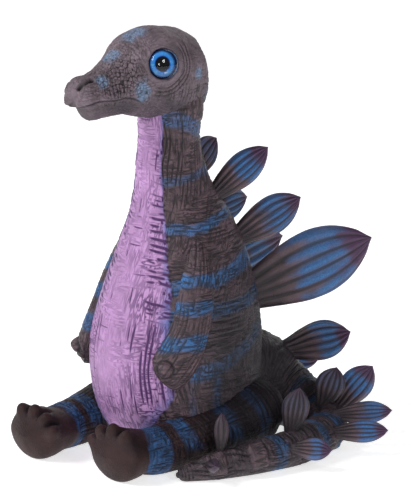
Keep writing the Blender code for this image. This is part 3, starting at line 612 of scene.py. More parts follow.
def build_body():
    """Body shell: an outer skin carved by lines, then in under the plug and up an inner wall."""
    columns = count(276)
    t = np.arange(columns) / columns * TURN
    angle = t - 0.26 * np.sin(t - math.radians(48.0))
    height = np.linspace(NECK_TOP, 0.0, count(312))
    angles, heights = np.meshgrid(angle, height)
    skin = body_surface(heights, angles)
    normal = surface_normals(skin, np.array((0, 0, 0.04)))
    belly, mist, blue, turn, edge = body_masks(skin, angles)
    row = through(STATIONS, heights)
    around = np.radians(turn) * 0.5 * (row[..., 1] + row[..., 2]) * np.sign(np.sin(angles))
    sizes_now = sizes()
    z = heights / MM
    cut, dark = carving(skin, around, heights, sizes_now.groove_pitch, sizes_now.groove_depth, 41)
    inside = edge - turn
    near_edge = step(26.0, 12.0, inside)
    dashes = lines(heights + 0.17 * around + 0.6 * MM * noise(skin, 6 * MM, 51), around, 1.9 * MM, 0.42 * MM,
                   3.2 * MM, 53) * near_edge * step(46, 52, z) * step(108, 70, z)
    ladder_zone = step(52, 44, z) * step(16, 26, z) * step(40.0, 26.0, inside)
    uprights = lines(around + 0.4 * MM * noise(skin, 8 * MM, 55), heights, 1.85 * MM, 0.36 * MM, 9 * MM, 57)
    rungs = lines(heights, around, 1.5 * MM, 0.26 * MM, 1.5 * MM, 59)
    rungs = rungs * step(0.1, 0.5, noise(skin, 5 * MM, 61))
    stray = lines(around + 1.2 * MM * noise(skin, 12 * MM, 63), heights, 5.5 * MM, 0.20 * MM, 4 * MM, 65)
    stray = stray * step(0.0, 0.45, noise(skin, 7 * MM, 67)) * 0.8
    cross = lines(heights, around, 4.5 * MM, 0.22 * MM, 5 * MM, 69)
    cross = cross * step(0.1, 0.5, noise(skin, 6 * MM, 71)) * 0.7
    pits = step(0.45, 0.85, noise(skin, 1.2 * MM, 73)) * step(14.0, 4.0, inside)
    ladder = np.maximum(uprights, 0.8 * rungs) * ladder_zone
    belly_cut = np.clip(np.maximum.reduce([dashes, ladder, stray, cross, pits]), 0, 1)
    border = bell(inside + 1.0, 1.2) * 0.55
    belly_depth = sizes_now.groove_depth * (1.25 * belly_cut + 0.10 * layered(skin, 3 * MM, 75))
    cut = cut * (1 - belly) + belly * belly_depth + sizes_now.groove_depth * border
    dark = np.clip(dark * (1 - belly) * 0.85 + belly * belly_cut + 0.4 * border, 0, 1)
    swell = 0.25 * MM * layered(skin, 14 * MM, 77)
    swell += (1.9 * step(104.0, 117.0, z) * step(50.0, 110.0, turn)) * MM
    fade = step(0.0, 2.5, z)
    outer = skin + normal * ((swell - cut) * fade)[..., None]
    outer[..., 2] = np.maximum(outer[..., 2], 0.0)
    rims = []
    for radius, lift in ((PLUG_HOLE, 0.0), (PLUG_HOLE, RECESS_BOTTOM), (PLUG_RECESS, RECESS_BOTTOM),
                         (PLUG_RECESS, RECESS_TOP)):
        rims.append(np.stack([radius * np.sin(angle), -radius * np.cos(angle), np.full(columns, lift)], -1))
    levels = np.linspace(INNER_FLOOR, NECK_TOP - INNER_TOP_GAP, count(22))
    wall_angle, wall_height = np.meshgrid(angle, levels)
    inner = body_surface(wall_height, wall_angle, grow=-BODY_WALL)
    grid = np.concatenate([outer, np.array(rims), inner])
    inside_rows = np.zeros((len(grid) - len(outer), columns))

    def pad(mask):
        return np.concatenate([mask, inside_rows])

    # Painted shade: the body is darkened below about 60 mm on its sides and back, as if in shade.
    painted_shade = 0.72 * step(72.0, 42.0, z + 3 * noise(skin, 9 * MM, 81)) * step(58.0, 84.0, turn)
    worn = (np.maximum(step(62.0, 14.0, inside), 0.85 * step(34.0, 18.0, z))
            * (0.60 + 0.40 * step(-0.3, 0.4, noise(skin, 6 * MM, 79))))
    masks = {"belly": pad(belly), "edge": pad(mist), "blue": pad(blue), "groove": pad(dark),
             "worn": pad(worn), "across": pad(around / MM), "up": pad(heights / MM), "painted_shade": pad(painted_shade)}
    return make_piece("body_skin", grid, masks, body_vinyl(), "torso_shell", loop=True)


# ---------------------------------------------------------------- head
def eye_frame(side):
    """Centre of the eye and the unit directions that it looks, across and up."""
    half, top, bottom = through(HEAD_ROWS, np.array([EYE_ALONG_HEAD]))[0]
    base = NECK_TOP - CHIN_DROP
    low, high = base + bottom * HEAD_HEIGHT, base + top * HEAD_HEIGHT
    middle = low + HEAD_WIDEST * (high - low)
    centre = np.array((side * half * HEAD_HALF_WIDTH * math.sin(EYE_ROUND_HEAD),
                       HEAD_BEHIND_NECK - NECK_LEAN - EYE_ALONG_HEAD * HEAD_LENGTH,
                       middle + (high - middle) * math.cos(EYE_ROUND_HEAD)))
    looks = np.array((side * math.sin(EYE_TURN) * math.cos(EYE_LIFT),
                      -math.cos(EYE_TURN) * math.cos(EYE_LIFT), math.sin(EYE_LIFT)))
    across = np.cross((0, 0, 1), looks)
    across /= np.linalg.norm(across)
    return centre, looks, across, np.cross(looks, across)


def to_path(points, path):
    """Least distance from points to the straight runs between the path's points."""
    best = np.full(points.shape[:-1], 1e9)
    for a, b in zip(np.asarray(path[:-1], float), np.asarray(path[1:], float)):
        run = b - a
        t = np.clip(((points - a) @ run) / (run @ run), 0, 1)
        best = np.minimum(best, np.linalg.norm(points - a - t[..., None] * run, axis=-1))
    return best


# Paths on the left of the head, in mm; the right side mirrors them. The mouth has y and height.
BROW = [(5.4, -25.0, 132.4), (7.4, -22.2, 135.3), (7.2, -18.0, 138.2), (7.6, -12.0, 139.0),
        (9.4, -6.5, 136.8)]
SNOUT_RIDGE = [(8.6, -25.5, 129.5), (5.2, -31.0, 130.5), (3.8, -36.0, 129.0)]
CHEEK_HOLLOW = [(11.5, -25.5, 126.5), (7.5, -31.0, 125.5)]
NOSTRIL = [(2.3, -43.4, 125.2), (2.9, -41.4, 126.5), (3.2, -39.5, 127.6)]
MOUTH = [(-46.0, 119.3), (-44.0, 120.1), (-41.4, 121.2), (-37.0, 121.5), (-32.0, 121.2), (-27.5, 121.4),
         (-24.0, 120.2), (-21.0, 118.6)]
# Radius of the ring of each eyelid, mm.
LID_RING = 5.65
# Middle of a blue patch on the head, its radius and its height, mm, and its strength.
HEAD_PATCHES = [((0, -19.5, 141.0), 4.6, 4.0, 0.8), ((0.6, -29.2, 134.6), 3.2, 2.6, 0.8),
                ((5.0, -36.6, 127.4), 2.2, 2.4, 0.85), ((9.4, -23.5, 123.2), 2.5, 4.6, 0.9),
                ((12.4, -1.8, 127.4), 2.6, 2.2, 0.7), ((9.0, 6.5, 120.0), 4.0, 3.0, 0.5)]


def build_head():
    """Head: rings along its length, moved in and out for brows, lids, mouth, jaw and scales."""
    rows, columns = count(330), count(262)
    way = 0.5 - 0.5 * np.cos(np.linspace(0.0, math.pi, rows))
    span = HEAD_ROWS[-1][0] - HEAD_ROWS[0][0]
    share = HEAD_ROWS[0][0] + span * (0.7 * np.linspace(0, 1, rows) + 0.3 * way)
    shares, angles = np.meshgrid(share, np.arange(columns) / columns * TURN, indexing="ij")
    row = through(HEAD_ROWS, shares)
    base = NECK_TOP - CHIN_DROP
    low, high = base + row[..., 2] * HEAD_HEIGHT, base + row[..., 1] * HEAD_HEIGHT
    middle = low + HEAD_WIDEST * (high - low)
    reach = np.where(np.cos(angles) > 0, high - middle, middle - low)
    skin = np.stack([row[..., 0] * HEAD_HALF_WIDTH * np.sin(angles),
                     HEAD_BEHIND_NECK - NECK_LEAN - shares * HEAD_LENGTH,
                     middle + reach * np.cos(angles)], -1)
    normal = surface_normals(skin)
    p = skin / MM
    both = p * np.array((0, 1, 1)) + np.abs(p) * np.array((1, 0, 0))
    y, z = p[..., 1], p[..., 2]
    push = np.zeros(p.shape[:2])
    push += 0.95 * bell(to_path(both, BROW), 1.9)
    push += 0.35 * bell(to_path(both, SNOUT_RIDGE), 1.8)
    push -= 0.30 * bell(to_path(both, CHEEK_HOLLOW), 2.2)
    slit = to_path(both, NOSTRIL)
    push += 0.30 * bell(slit - 1.25, 0.75) - 1.20 * bell(slit, 0.52)
    lip = z - through(MOUTH, y)[..., 0]
    front = step(-20.0, -25.5, y)
    push += front * (0.42 * bell(lip - 1.5, 1.1) - 0.62 * bell(lip, 0.42) - 0.50 * step(0.0, -1.0, lip)
                     + 0.25 * bell(lip + 2.4, 1.2))
    push += 0.5 * mound(both, (9.6, -6.0, 118.5), (1, 1, 1), 4.5)
    push += 0.8 * mound(both, (1.2, -44.5, 124.6), (0.7, 1, 1), 4.2)
    push += 1.9 * mound(both, (0.0, -44.5, 129.5), (0.55, 1, 1), 4.8)
    push += 0.42 * layered(p * MM, 7 * MM, 101)
    around_eye = []
    for side in (1, -1):
        centre, looks, across, up = eye_frame(side)
        away = skin - centre
        u, v, h = away @ across / MM, away @ up / MM, away @ looks / MM
        r = np.hypot(u, v)
        on_side = step(-7.0, -5.0, h) * (np.sign(p[..., 0]) == side)
        bearing = np.degrees(np.arctan2(v, np.where(across[1] > 0, u, -u)))
        fan = step(-125, -95, bearing) * step(52, 30, bearing)
        creases = np.cos(TURN * (r - 7.1 + 0.35 * noise(skin, 3 * MM, 103)) / 1.25)
        push += on_side * 0.30 * creases * fan * step(6.5, 7.2, r) * step(12.5, 9.5, r)
        folds = fan * step(6.5, 7.2, r) * step(13, 10, r) * step(0.0, -0.7, creases)
        around_eye.append((centre, looks, r, h, on_side, folds))
    scaly = cells(skin, sizes().scale_size, 111)
    zone = mound(both, (7.5, -28.0, 129.5), (0.5, 0.8, 0.7), 7.0)
    rear = step(-2.0, 8.0, y)
    creased = lines(skin[..., 1] + 0.5 * MM * noise(skin, 4 * MM, 115), skin[..., 2], 1.15 * MM,
                    0.26 * MM, 4 * MM, 117)
    side_zone = mound(both, (6.0, -32.0, 124.0), (0.4, 0.75, 1.0), 4.2)
    scribble = carving(skin, skin[..., 1], skin[..., 2], 1.25 * MM, 1.0, 121, 0.4)[1]
    cheek = mound(both, (11.0, -8.0, 122.5), (0.3, 0.6, 1.0), 5.5)
    seam = step(0.16, 0.04, scaly)
    grit = layered(skin, 1.1 * MM, 119)
    fine = ((0.36 * zone + 0.16) * seam + 0.34 * creased * side_zone
            + (0.32 * cheek + 0.36 * rear) * scribble - 0.15 * grit)
    for centre, looks, r, h, on_side, folds in around_eye:
        near = on_side * bell(r, 6.6)
        push = push * (1 - 0.85 * near)
        fine = fine * (1 - on_side * bell(r, 6.2))
    moved = skin + normal * ((push - fine) * MM)[..., None]
    tuck = front * step(0.0, -0.9, lip)
    ahead = moved[..., 1] - TUCK_FROM
    moved[..., 1] = np.where(ahead < 0, TUCK_FROM + ahead * (1 - 0.72 * tuck), moved[..., 1])
    moved[..., 0] *= 1 - 0.07 * tuck * step(-26, -32, y)
    for centre, looks, r, h, on_side, folds in around_eye:
        flat = on_side * np.exp(-(r / 6.6) ** 6)
        target = 0.10 + sizes().lid_height / MM * bell(r - LID_RING, 0.72)
        sink = on_side * step(4.95, 4.72, r)
        goal = target * (1 - sink) + sink * (-EYE_DEPTH / MM - 0.1)
        lift = flat * (goal - h)
        moved += looks * (lift * MM)[..., None]
    patches = np.zeros_like(push)
    for middle, wide, tall, strength in HEAD_PATCHES:
        d = (both - np.array(middle)) / np.array((wide, wide, tall))
        spread = np.linalg.norm(d, axis=-1) + 0.28 * noise(skin, 2 * MM, 131)
        patches = np.maximum(patches, strength * step(1.25, 0.50, spread))
    patches *= 0.78 + 0.3 * noise(skin, 1.2 * MM, 133)
    dark = (0.85 * seam * (0.35 + 0.65 * zone) + 0.80 * creased * side_zone
            + 0.75 * scribble * np.maximum(cheek, rear) + 0.35 * step(0.1, 0.6, -grit))
    dark = np.maximum(dark, 0.95 * bell(slit, 0.8))
    dark = np.maximum(dark, front * 0.85 * bell(lip, 0.5))
    # Painted shade: the lower jaw below the mouth line is darkened.
    dark = np.maximum(dark, 0.48 * front * step(0.3, -2.0, lip))
    for centre, looks, r, h, on_side, folds in around_eye:
        dark = np.maximum(dark * (1 - on_side * bell(r, 5.6)), on_side * 0.80 * step(5.0, 4.8, r))
        dark = np.maximum(dark, on_side * np.maximum(0.25 * bell(r - 6.6, 0.8), 0.75 * folds))
    # Painted shade darkens the lower half of the head behind the snout, under the jaw and cheeks.
    masks = {"blue": np.clip(patches, 0, 1), "groove": np.clip(dark, 0, 1),
             "painted_shade": 0.50 * step(125.5, 117.0, z + 1.5 * noise(skin, 6 * MM, 135)) * step(-36.0, -28.0, y),
             "across": y, "up": np.degrees(angles) / 5.0 * np.sign(np.sin(angles))}
    vinyl = shared_material("painted_vinyl_head", colour("head_brown_with_painted_light"), colour("head_blue"),
                            (0.38, 0.56), nick=0.42)
    return make_piece("head_skin", moved, masks, vinyl, "head_shell")


# ---------------------------------------------------------------- eyes
EYE_COLUMNS = 96
DISC_RINGS = 34
DOME_RINGS = 22


def eye_material():
    """Printed styrene disc: a glossy blue iris with fine rays, a dark rim and a round pupil."""
    material, tree, shader = new_material("printed_styrene_iris")
    ring = mask_socket(tree, "ring")
    ramp = add(tree, "ShaderNodeValToRGB", {"Fac": ring})
    stops = [(0.0, "#04060b"), (0.48, "#05070c"), (0.53, "#0f4698"), (0.58, "#2f8cec"), (0.80, "#56aefc"),
             (0.88, "#2a6ed0"), (0.94, "#0e2a62"), (1.0, "#0a1430")]
    while len(ramp.color_ramp.elements) < len(stops):
        ramp.color_ramp.elements.new(0.5)
    for element, (place, code) in zip(ramp.color_ramp.elements, stops):
        element.position = place
        element.color = (*linear(code), 1.0)
    rays = mask_socket(tree, "rays")
    faint = add(tree, "ShaderNodeMath", {"operation": "MULTIPLY", 0: rays, 1: 0.55}).outputs[0]
    skin = add(tree, "ShaderNodeMix", {"data_type": "RGBA", "blend_type": "SCREEN", 0: faint,
                                       6: ramp.outputs["Color"], 7: (*linear("#7fd0ff"), 1.0)}).outputs[2]
    # Painted reflection: near white flecks beside the lower edge of the pupil.
    skin = add(tree, "ShaderNodeMix", {"data_type": "RGBA", 0: mask_socket(tree, "painted_reflection"), 6: skin,
                                       7: (*linear("#e8f6ff"), 1.0)}).outputs[2]
    tree.links.new(skin, shader.inputs["Base Color"])
    gloss = add(tree, "ShaderNodeMapRange",
                {"To Min": 0.45, "To Max": 0.60, "Value": speckle(tree, 0.4 * MM)})
    tree.links.new(gloss.outputs[0], shader.inputs["Roughness"])
    shader.inputs["Specular IOR Level"].default_value = 0.08
    return material


def dome_material():
    """Clear acrylic, moulded and polished: it shows the disc below and a sharp highlight."""
    material, tree, shader = new_material("polished_clear_acrylic")
    tree.nodes.remove(shader)
    clear = add(tree, "ShaderNodeBsdfTransparent", {"Color": (0.97, 0.99, 1.0, 1.0)})
    scratch = add(tree, "ShaderNodeMapRange",
                  {"To Min": 0.02, "To Max": 0.05, "Value": speckle(tree, 0.6 * MM)})
    gloss = add(tree, "ShaderNodeBsdfGlossy", {"Roughness": scratch.outputs[0]})
    edge = add(tree, "ShaderNodeFresnel", {"IOR": 1.49})
    share = add(tree, "ShaderNodeMath", {"operation": "MULTIPLY", 0: edge.outputs[0],
                                         1: mask_socket(tree, "outer")}).outputs[0]
    mix = add(tree, "ShaderNodeMixShader", {0: share, 1: clear.outputs[0], 2: gloss.outputs[0]})
    tree.links.new(mix.outputs[0], tree.nodes["Material Output"].inputs["Surface"])
    return material


def turned_about(frame_of_eye, turn, r, h):
    """Points at radius r round the eye's middle, at each turn, and height h out along its look."""
    centre, looks, across, up = frame_of_eye
    round_it = np.cos(turn)[:, None] * across + np.sin(turn)[:, None] * up
    return centre + r[..., None] * round_it[None] + h[..., None] * looks


def build_eyes():
    """Each disc is a closed dish of rings; each dome a quarter ellipse turned over a flat base."""
    iris, dome = eye_material(), dome_material()
    columns = EYE_COLUMNS
    turn = np.arange(columns) / columns * TURN
    for side, word in ((1, "left"), (-1, "right")):
        back = -EYE_DEPTH + EYE_GAP
        front = back + DISC_THICKNESS
        share = np.linspace(0.02, 1.0, DISC_RINGS)
        radius = np.concatenate([share, [1.0, 0.5]]) * EYE_RADIUS
        height = np.concatenate([front - DISC_DISH * (1 - share), [back, back]])
        r, h = (np.repeat(ring_values[:, None], columns, 1) for ring_values in (radius, height))
        u, v = r / EYE_RADIUS * np.cos(turn), r / EYE_RADIUS * np.sin(turn)
        ring = np.clip(np.hypot(u - 0.05 * side, v), 0, 1)
        flat = np.stack([u, v, u * 0], -1)
        rays = (step(0.0, 0.7, noise(np.stack([turn * 6 + r * 0, ring * 1.5, r * 0], -1), 1.0, 141))
                * step(0.5, 0.66, ring) * step(0.93, 0.8, ring)
                * (0.35 + 0.65 * step(-0.3, -0.75, u * side + 0.4 * v)))
        # Painted reflection: white flecks round the lower right of the pupil, where the dome would mirror the
        # floor.
        painted_reflection = (step(0.35, 0.62, noise(flat, 0.10, 143)) * bell(ring - 0.62, 0.06)
                 * step(0.3, -0.1, v) * step(-0.5, 0.1, u * side))
        make_piece(word + "_iris", turned_about(eye_frame(side), turn, r, h),
                   {"ring": ring, "rays": rays, "painted_reflection": painted_reflection}, iris, word + "_eye_disc")
        arc = np.linspace(0.03, math.pi / 2, DOME_RINGS)
        radius = np.concatenate([np.sin(arc), [1.0, 0.5]]) * EYE_RADIUS
        height = np.concatenate([DOME_EDGE + (EYE_RISE - DOME_EDGE) * np.cos(arc),
                                 [front + EYE_GAP, front + EYE_GAP]])
        r, h = (np.repeat(ring_values[:, None], columns, 1) for ring_values in (radius, height))
        outer = (np.arange(len(radius)) < DOME_RINGS).astype(float)[:, None]
        make_piece(word + "_cornea", turned_about(eye_frame(side), turn, r, h), {"outer": outer}, dome,
                   word + "_eye_dome")


# ---------------------------------------------------------------- limbs and tail
def swept_surface(rows, steps, columns):
    """Tube round a path: centre + right a cos t + above b sin t, with b for up or for down.

    Rows hold place, x, y, z, side, up and down radii; it never goes under the ground."""
    way = np.linspace(rows[0][0], rows[-1][0], steps)
    value = through(rows, way)
    centre = value[:, :3]
    ahead = np.gradient(centre, axis=0)
    ahead /= np.linalg.norm(ahead, axis=1, keepdims=True)
    right = np.cross(ahead, (0, 0, 1))
    right /= np.linalg.norm(right, axis=1, keepdims=True)
    above = np.cross(right, ahead)
    t = np.arange(columns) / columns * TURN
    tall = np.where(np.sin(t)[None] > 0, value[:, 4:5], value[:, 5:6])
    grid = (centre[:, None] + right[:, None] * (value[:, 3:4] * np.cos(t))[..., None]
            + above[:, None] * (tall * np.sin(t))[..., None])
    grid[..., 2] = np.maximum(grid[..., 2], 0.0)
    return grid, np.meshgrid(way, t, indexing="ij")


def rounded_end(grid, number):
    """Draws the last rings in to a dome: a ring's size follows a quarter circle."""
    out = grid.copy()
    ring = np.arange(number)
    shrink = np.sqrt(np.clip(1 - ((number - ring) / number) ** 2, 0.0, 1.0))
    index = len(grid) - 1 - ring
    middle = out[index].mean(1, keepdims=True)
    out[index] = middle + (out[index] - middle) * np.maximum(shrink, 0.04)[:, None, None]
    return out


def leg_rows(side, spread, reach):
    """Rows of the path from inside the hip to the sole, as in the solid."""
    hip = np.array((side * HIP_OUT * BODY_HALF_WIDTH, HIP_BACK * BODY_BACK, 0.0))
    ankle = np.array((side * spread, -reach, 0.0))
    rows = []
    length = np.linalg.norm(ankle - hip)
    for way, across, up, down, lift in LEG_ROWS:
        bow = np.array((side * LEG_BOW * BODY_HALF_WIDTH * math.sin(math.pi * way), 0, 0))
        centre = hip + (ankle - hip) * way + bow
        rows.append((way * length, centre[0], centre[1], lift * FOOT_HEIGHT,
                     across * LEG_RADIUS, up * LEG_RADIUS, down * LEG_RADIUS))
    for way, across, tall in FOOT_ROWS:
        half = tall * FOOT_HEIGHT / 2
        rows.append((length + way * reach, ankle[0], ankle[1] - way * reach, FOOT_HEIGHT / 2,
                     across * FOOT_HALF_WIDTH, half, half))
    return rows


def build_legs():
    """Legs: carved thighs that smooth out into plain feet with four toes along the top."""
    vinyl = shared_material("painted_vinyl_legs", colour("foot"), colour("blue"), (0.50, 0.66), nick=0.8,
                            smooth_feet=True, gloss=0.20)
    for word, (side, spread, reach) in FOOT_PLACES.items():
        rows = leg_rows(side, spread, reach)
        grid, (way, turn) = swept_surface(rows, count(230), count(150))
        grid = rounded_end(grid, count(10))
        length = rows[-1][0]
        to_end = (length - way) / MM
        normal = surface_normals(grid)
        shin = step(12.0, 17.0, to_end)
        cut, dark = carving(grid, turn * LEG_RADIUS, way, sizes().groove_pitch * 1.1,
                            sizes().groove_depth, 151 + side)
        upper = step(-0.1, 0.35, np.sin(turn))
        toe = np.zeros_like(way)
        for bearing in TOES:
            t = math.radians(bearing if side > 0 else 180.0 - bearing)
            ring = np.argmin(np.abs(to_end[:, 0] - TOE_BACK))
            spot = grid[ring, int(round(t / TURN * grid.shape[1])) % grid.shape[1]]
            toe = np.maximum(toe, bell(np.linalg.norm(grid - spot, axis=-1), 2.2 * MM))
        arch = step(0.0, 0.5, np.sin(turn)) * bell(to_end - 4.5, 4.2)
        cleft = np.zeros_like(way)
        for bearing in CLEFTS:
            t = math.radians(bearing if side > 0 else 180.0 - bearing)
            off = np.abs(np.angle(np.exp(1j * (turn - t)))) * CLEFT_RADIUS
            cleft = np.maximum(cleft, bell(off, 0.75) * step(10.0, 7.0, to_end) * step(1.6, 3.4, to_end))
        toes = (2.3 * toe - 0.30 * arch - 1.30 * cleft) * MM
        knuckle = 0.35 * MM * bell(to_end - 8.0, 2.5) * upper
        ankle = -0.5 * MM * bell(to_end - 14.0, 3.0) * upper
        wrinkle = 0.14 * MM * layered(grid, 2.6 * MM, 157)
        move = toes + knuckle + ankle + wrinkle - cut * shin
        on_floor = step(0.0, 1.2 * MM, grid[..., 2])
        moved = grid + normal * (move * on_floor)[..., None]
        moved[..., 2] = np.maximum(moved[..., 2], 0.0)
        middle, half = ANKLE_BAND
        band = step(1.2, 0.6, np.abs(to_end - middle - 1.2 * noise(grid, 5 * MM, 161)) / half)
        patch = np.zeros_like(way)
        for middle, half in LEG_STREAKS:
            streak = step(1.3, 0.5, np.abs(to_end - middle - 2.0 * layered(grid, 7 * MM, 163)) / half)
            patch = np.maximum(patch, 0.85 * streak * step(7.0, 11.0, grid[..., 2] / MM))
        blue = np.maximum(0.72 * band, 0.8 * patch) * (0.8 + 0.3 * noise(grid, 1.5 * MM, 165))
        gap = np.maximum(0.5 * arch * step(0.45, 0.15, toe), cleft)
        groove = np.clip(np.maximum(dark * shin * 0.9, 0.95 * gap), 0, 1)
        # Painted shade darkens the upper leg and haunch, away from the foot.
        masks = {"blue": np.clip(blue, 0, 1), "groove": groove, "across": np.degrees(turn) / 6.0,
                 "up": way / MM, "worn": shin, "painted_shade": 0.7 * step(26.0, 44.0, to_end)}
        make_piece(word + "_leg_skin", moved, masks, vinyl, word + "_leg")


def build_arms():
    """Arms: flat tubes laid on the belly, carved, with fingers and a round thumb at the end."""
    for side, word in ((1, "left"), (-1, "right")):
        place = np.linspace(0, len(ARM_ROWS) - 1, count(150))
        table = [(i, *row) for i, row in enumerate(ARM_ROWS)]
        value = through(table, place)
        height, angle, share = value[:, 0] * BODY_HEIGHT, side * np.radians(value[:, 1]), value[:, 2]
        centre = body_surface(height, angle) * share[:, None]
        centre[:, 2] = height
        row = through(STATIONS, height)
        centre[:, 1] += row[:, 0] * (1 - share)
        ahead = np.gradient(centre, axis=0)
        ahead /= np.linalg.norm(ahead, axis=1, keepdims=True)
        out = np.stack([np.sin(angle) / row[:, 1], -np.cos(angle) / row[:, 2], 0 * angle], -1)
        out /= np.linalg.norm(out, axis=1, keepdims=True)
        across = np.cross(ahead, out)
        across /= np.linalg.norm(across, axis=1, keepdims=True)
        out = np.cross(across, ahead)
        t = np.arange(count(96)) / count(96) * TURN
        grid = (centre[:, None] + across[:, None] * (value[:, 3:4] * ARM_WIDTH * np.cos(t))[..., None]
                + out[:, None] * (value[:, 4:5] * ARM_THICKNESS * np.sin(t))[..., None])
        grid = rounded_end(grid, count(6))
        way, turn = np.meshgrid(place, t, indexing="ij")
        normal = surface_normals(grid)
        hand = step(5.2, 6.3, way)
        cut, dark = carving(grid, turn * ARM_WIDTH, grid[..., 2], sizes().groove_pitch, sizes().groove_depth,
                            171 + side, 0.35)
        fingers = np.cos((turn - math.pi / 2) * 4.5) * step(0.0, 0.5, np.sin(turn)) * step(5.9, 6.8, way)
        thumb = grid[int(len(grid) * 0.86), int(len(t) * (0.20 if side > 0 else 0.30))]
        knob = bell(np.linalg.norm(grid - thumb, axis=-1), 2.1 * MM)
        ring = bell(np.linalg.norm(grid - thumb, axis=-1) - 2.9 * MM, 0.5 * MM)
        move = 1.9 * MM * knob - 0.40 * MM * ring + 0.4 * MM * fingers - cut * (1 - 0.5 * hand) * (1 - knob)
        moved = grid + normal * move[..., None]
        z = grid[..., 2] / MM
        blue = np.zeros_like(z)
        waver = 0.9 * noise(grid, 5 * MM, 175)
        for middle, half in ARM_BANDS:
            blue = np.maximum(blue, step(1.3, 0.55, np.abs(z - middle - waver) / half))
        blue *= 0.85 + 0.3 * noise(grid, 1.6 * MM, 177)
        masks = {"blue": np.clip(blue, 0, 1), "groove": np.clip(np.maximum(0.85 * dark, ring), 0, 1),
                 "belly": 0.0, "edge": 0.0, "painted_shade": 0.0, "across": np.degrees(turn) / 10.0, "up": z}
        make_piece(word + "_arm_skin", moved, masks, body_vinyl(), word + "_arm")


def tail_rows():
    """Rows of place along the tail, centre, and radii to the side, up and down."""
    rows = []
    for i, (swing, reach, lift, thick) in enumerate(TAIL_ROWS):
        y = reach * (TAIL_REACH_BACK if reach > 0 else TAIL_TIP_FORWARD)
        radius, z = thick * TAIL_RADIUS, lift * TAIL_RADIUS
        rows.append((i / (len(TAIL_ROWS) - 1), swing * TAIL_SWING, y, z, radius, 0.96 * radius,
                     max(radius, z)))
    return rows


def build_tail():
    """Tail: a tapering tube curled round on the ground, carved, with blue bands and blocks."""
    grid, (way, turn) = swept_surface(tail_rows(), count(400), count(150))
    grid = rounded_end(grid, count(10))
    normal = surface_normals(grid)
    cut, dark = carving(grid, grid[..., 2], way * 0.15, sizes().groove_pitch * 1.1,
                        sizes().groove_depth * 1.1, 181, 0.42)
    bumps = 0.8 * MM * layered(grid, 4.5 * MM, 185)
    block = np.zeros_like(way)
    for middle, half in TAIL_BLOCKS:
        block = np.maximum(block, step(1.25, 0.85, np.abs(way - middle) / half))
    degrees = np.degrees(turn)
    block *= step(98.0, 112.0, degrees) * step(205.0, 190.0, degrees)
    on_floor = step(0.0, 1.2 * MM, grid[..., 2])
    moved = grid + normal * ((bumps + 0.9 * MM * block - cut * (1 - block)) * on_floor)[..., None]
    moved[..., 2] = np.maximum(moved[..., 2], 0.0)
    blue = np.zeros_like(way)
    waver = 0.012 * layered(grid, 6 * MM, 187)
    for middle, half in TAIL_BANDS:
        blue = np.maximum(blue, step(1.3, 0.5, np.abs(way - middle - waver) / half))
    blue *= (0.85 + 0.35 * noise(grid, 1.8 * MM, 189)) * (1 - block)
    # Painted shade over the whole tail, deeper near its root beside the haunch, and less on the raised
    # blocks.
    masks = {"blue": np.clip(blue, 0, 1), "groove": np.clip(dark * (1 - block), 0, 1), "belly": 0.0,
             "edge": 0.0, "painted_shade": (0.45 + 0.30 * step(0.45, 0.2, way)) * (1 - 0.8 * block),
             "across": way * 150.0, "up": np.degrees(turn) / 8.0}
    return make_piece("tail_skin", moved, masks, body_vinyl(), "tail")


# ---------------------------------------------------------------- plates
def heading_vector(heading, lift):
    """The direction at a heading from +X towards +Y, raised by the lift, in degrees."""
    heading, lift = math.radians(heading), math.radians(lift)
    return np.array((math.cos(heading) * math.cos(lift), math.sin(heading) * math.cos(lift), math.sin(lift)))


def build_leaf(name, base, ahead, face, length, width, thickness, seed, mist, fluted=True):
    """Leaf plate: lens sections along its length, with flutes that run together at the tip."""
    across = np.cross(ahead, face)
    across /= np.linalg.norm(across)
    face = np.cross(across, ahead)
    way = np.concatenate([np.linspace(-0.30, 0.9, count(80)), np.linspace(0.91, 1.0, 12)])
    wide = through(LEAF_ROWS, way)[:, 0]
    wide = np.where(way > 0.90, wide * np.sqrt(np.clip(1 - ((way - 0.90) / 0.102) ** 2, 0.01, 1)), wide)
    t = np.arange(count(112)) / count(112) * TURN
    ways, turn = np.meshgrid(way, t, indexing="ij")
    wides = np.broadcast_to(wide[:, None], ways.shape)
    deep = 0.5 * thickness * (0.35 + 0.65 * wides) * (1.15 - 0.45 * np.maximum(ways, 0))
    side = np.cos(turn)
    flat = np.sign(np.sin(turn)) * np.abs(np.sin(turn)) ** 1.2
    grid = (base + ahead * (ways * length)[..., None] + across * (0.5 * wides * width * side)[..., None]
            + face * (deep * flat)[..., None])
    normal = surface_normals(grid)
    fan = side * (2.6 if fluted else 1.2) + 0.10 * noise(np.stack([ways * 3, side, side * 0], -1), 1.0, seed)
    flute = np.cos(TURN * fan) * np.abs(np.sin(turn)) ** 0.6
    strength = sizes().flute_depth * np.clip(wides, 0.2, 1) * step(-0.15, 0.1, ways) * min(1.0, width / 0.013)
    streaks = noise(np.stack([ways * 2.5, side * 9, np.sign(flat) * 2], -1), 1.0, seed + 1)
    move = strength * (flute + 0.22 * streaks) + 0.06 * MM * layered(grid, 2.5 * MM, seed + 2)
    moved = grid + normal * (move * step(1.0, 0.93, ways))[..., None]
    wander = 0.10 * noise(grid, 4 * MM, seed + 4) + 0.06 * streaks
    blue = step(0.30, 0.54, ways + wander) * step(0.94, 0.72, ways + wander)
    blue *= mist * (0.62 + 0.45 * step(-0.5, 0.8, flute) + 0.3 * streaks)
    tip = step(0.68, 0.90, ways + wander)
    groove = step(-0.1, -0.9, flute) * 0.65 + 0.62 * step(0.45, 0.0, ways) + 0.50 * step(0.7, 0.2, mist)
    masks = {"blue": np.clip(blue, 0, 1), "tip": np.clip(tip, 0, 1),
             "groove": np.clip(groove, 0, 1)}
    return make_piece(name + "_skin", moved, masks, plate_vinyl(), name)


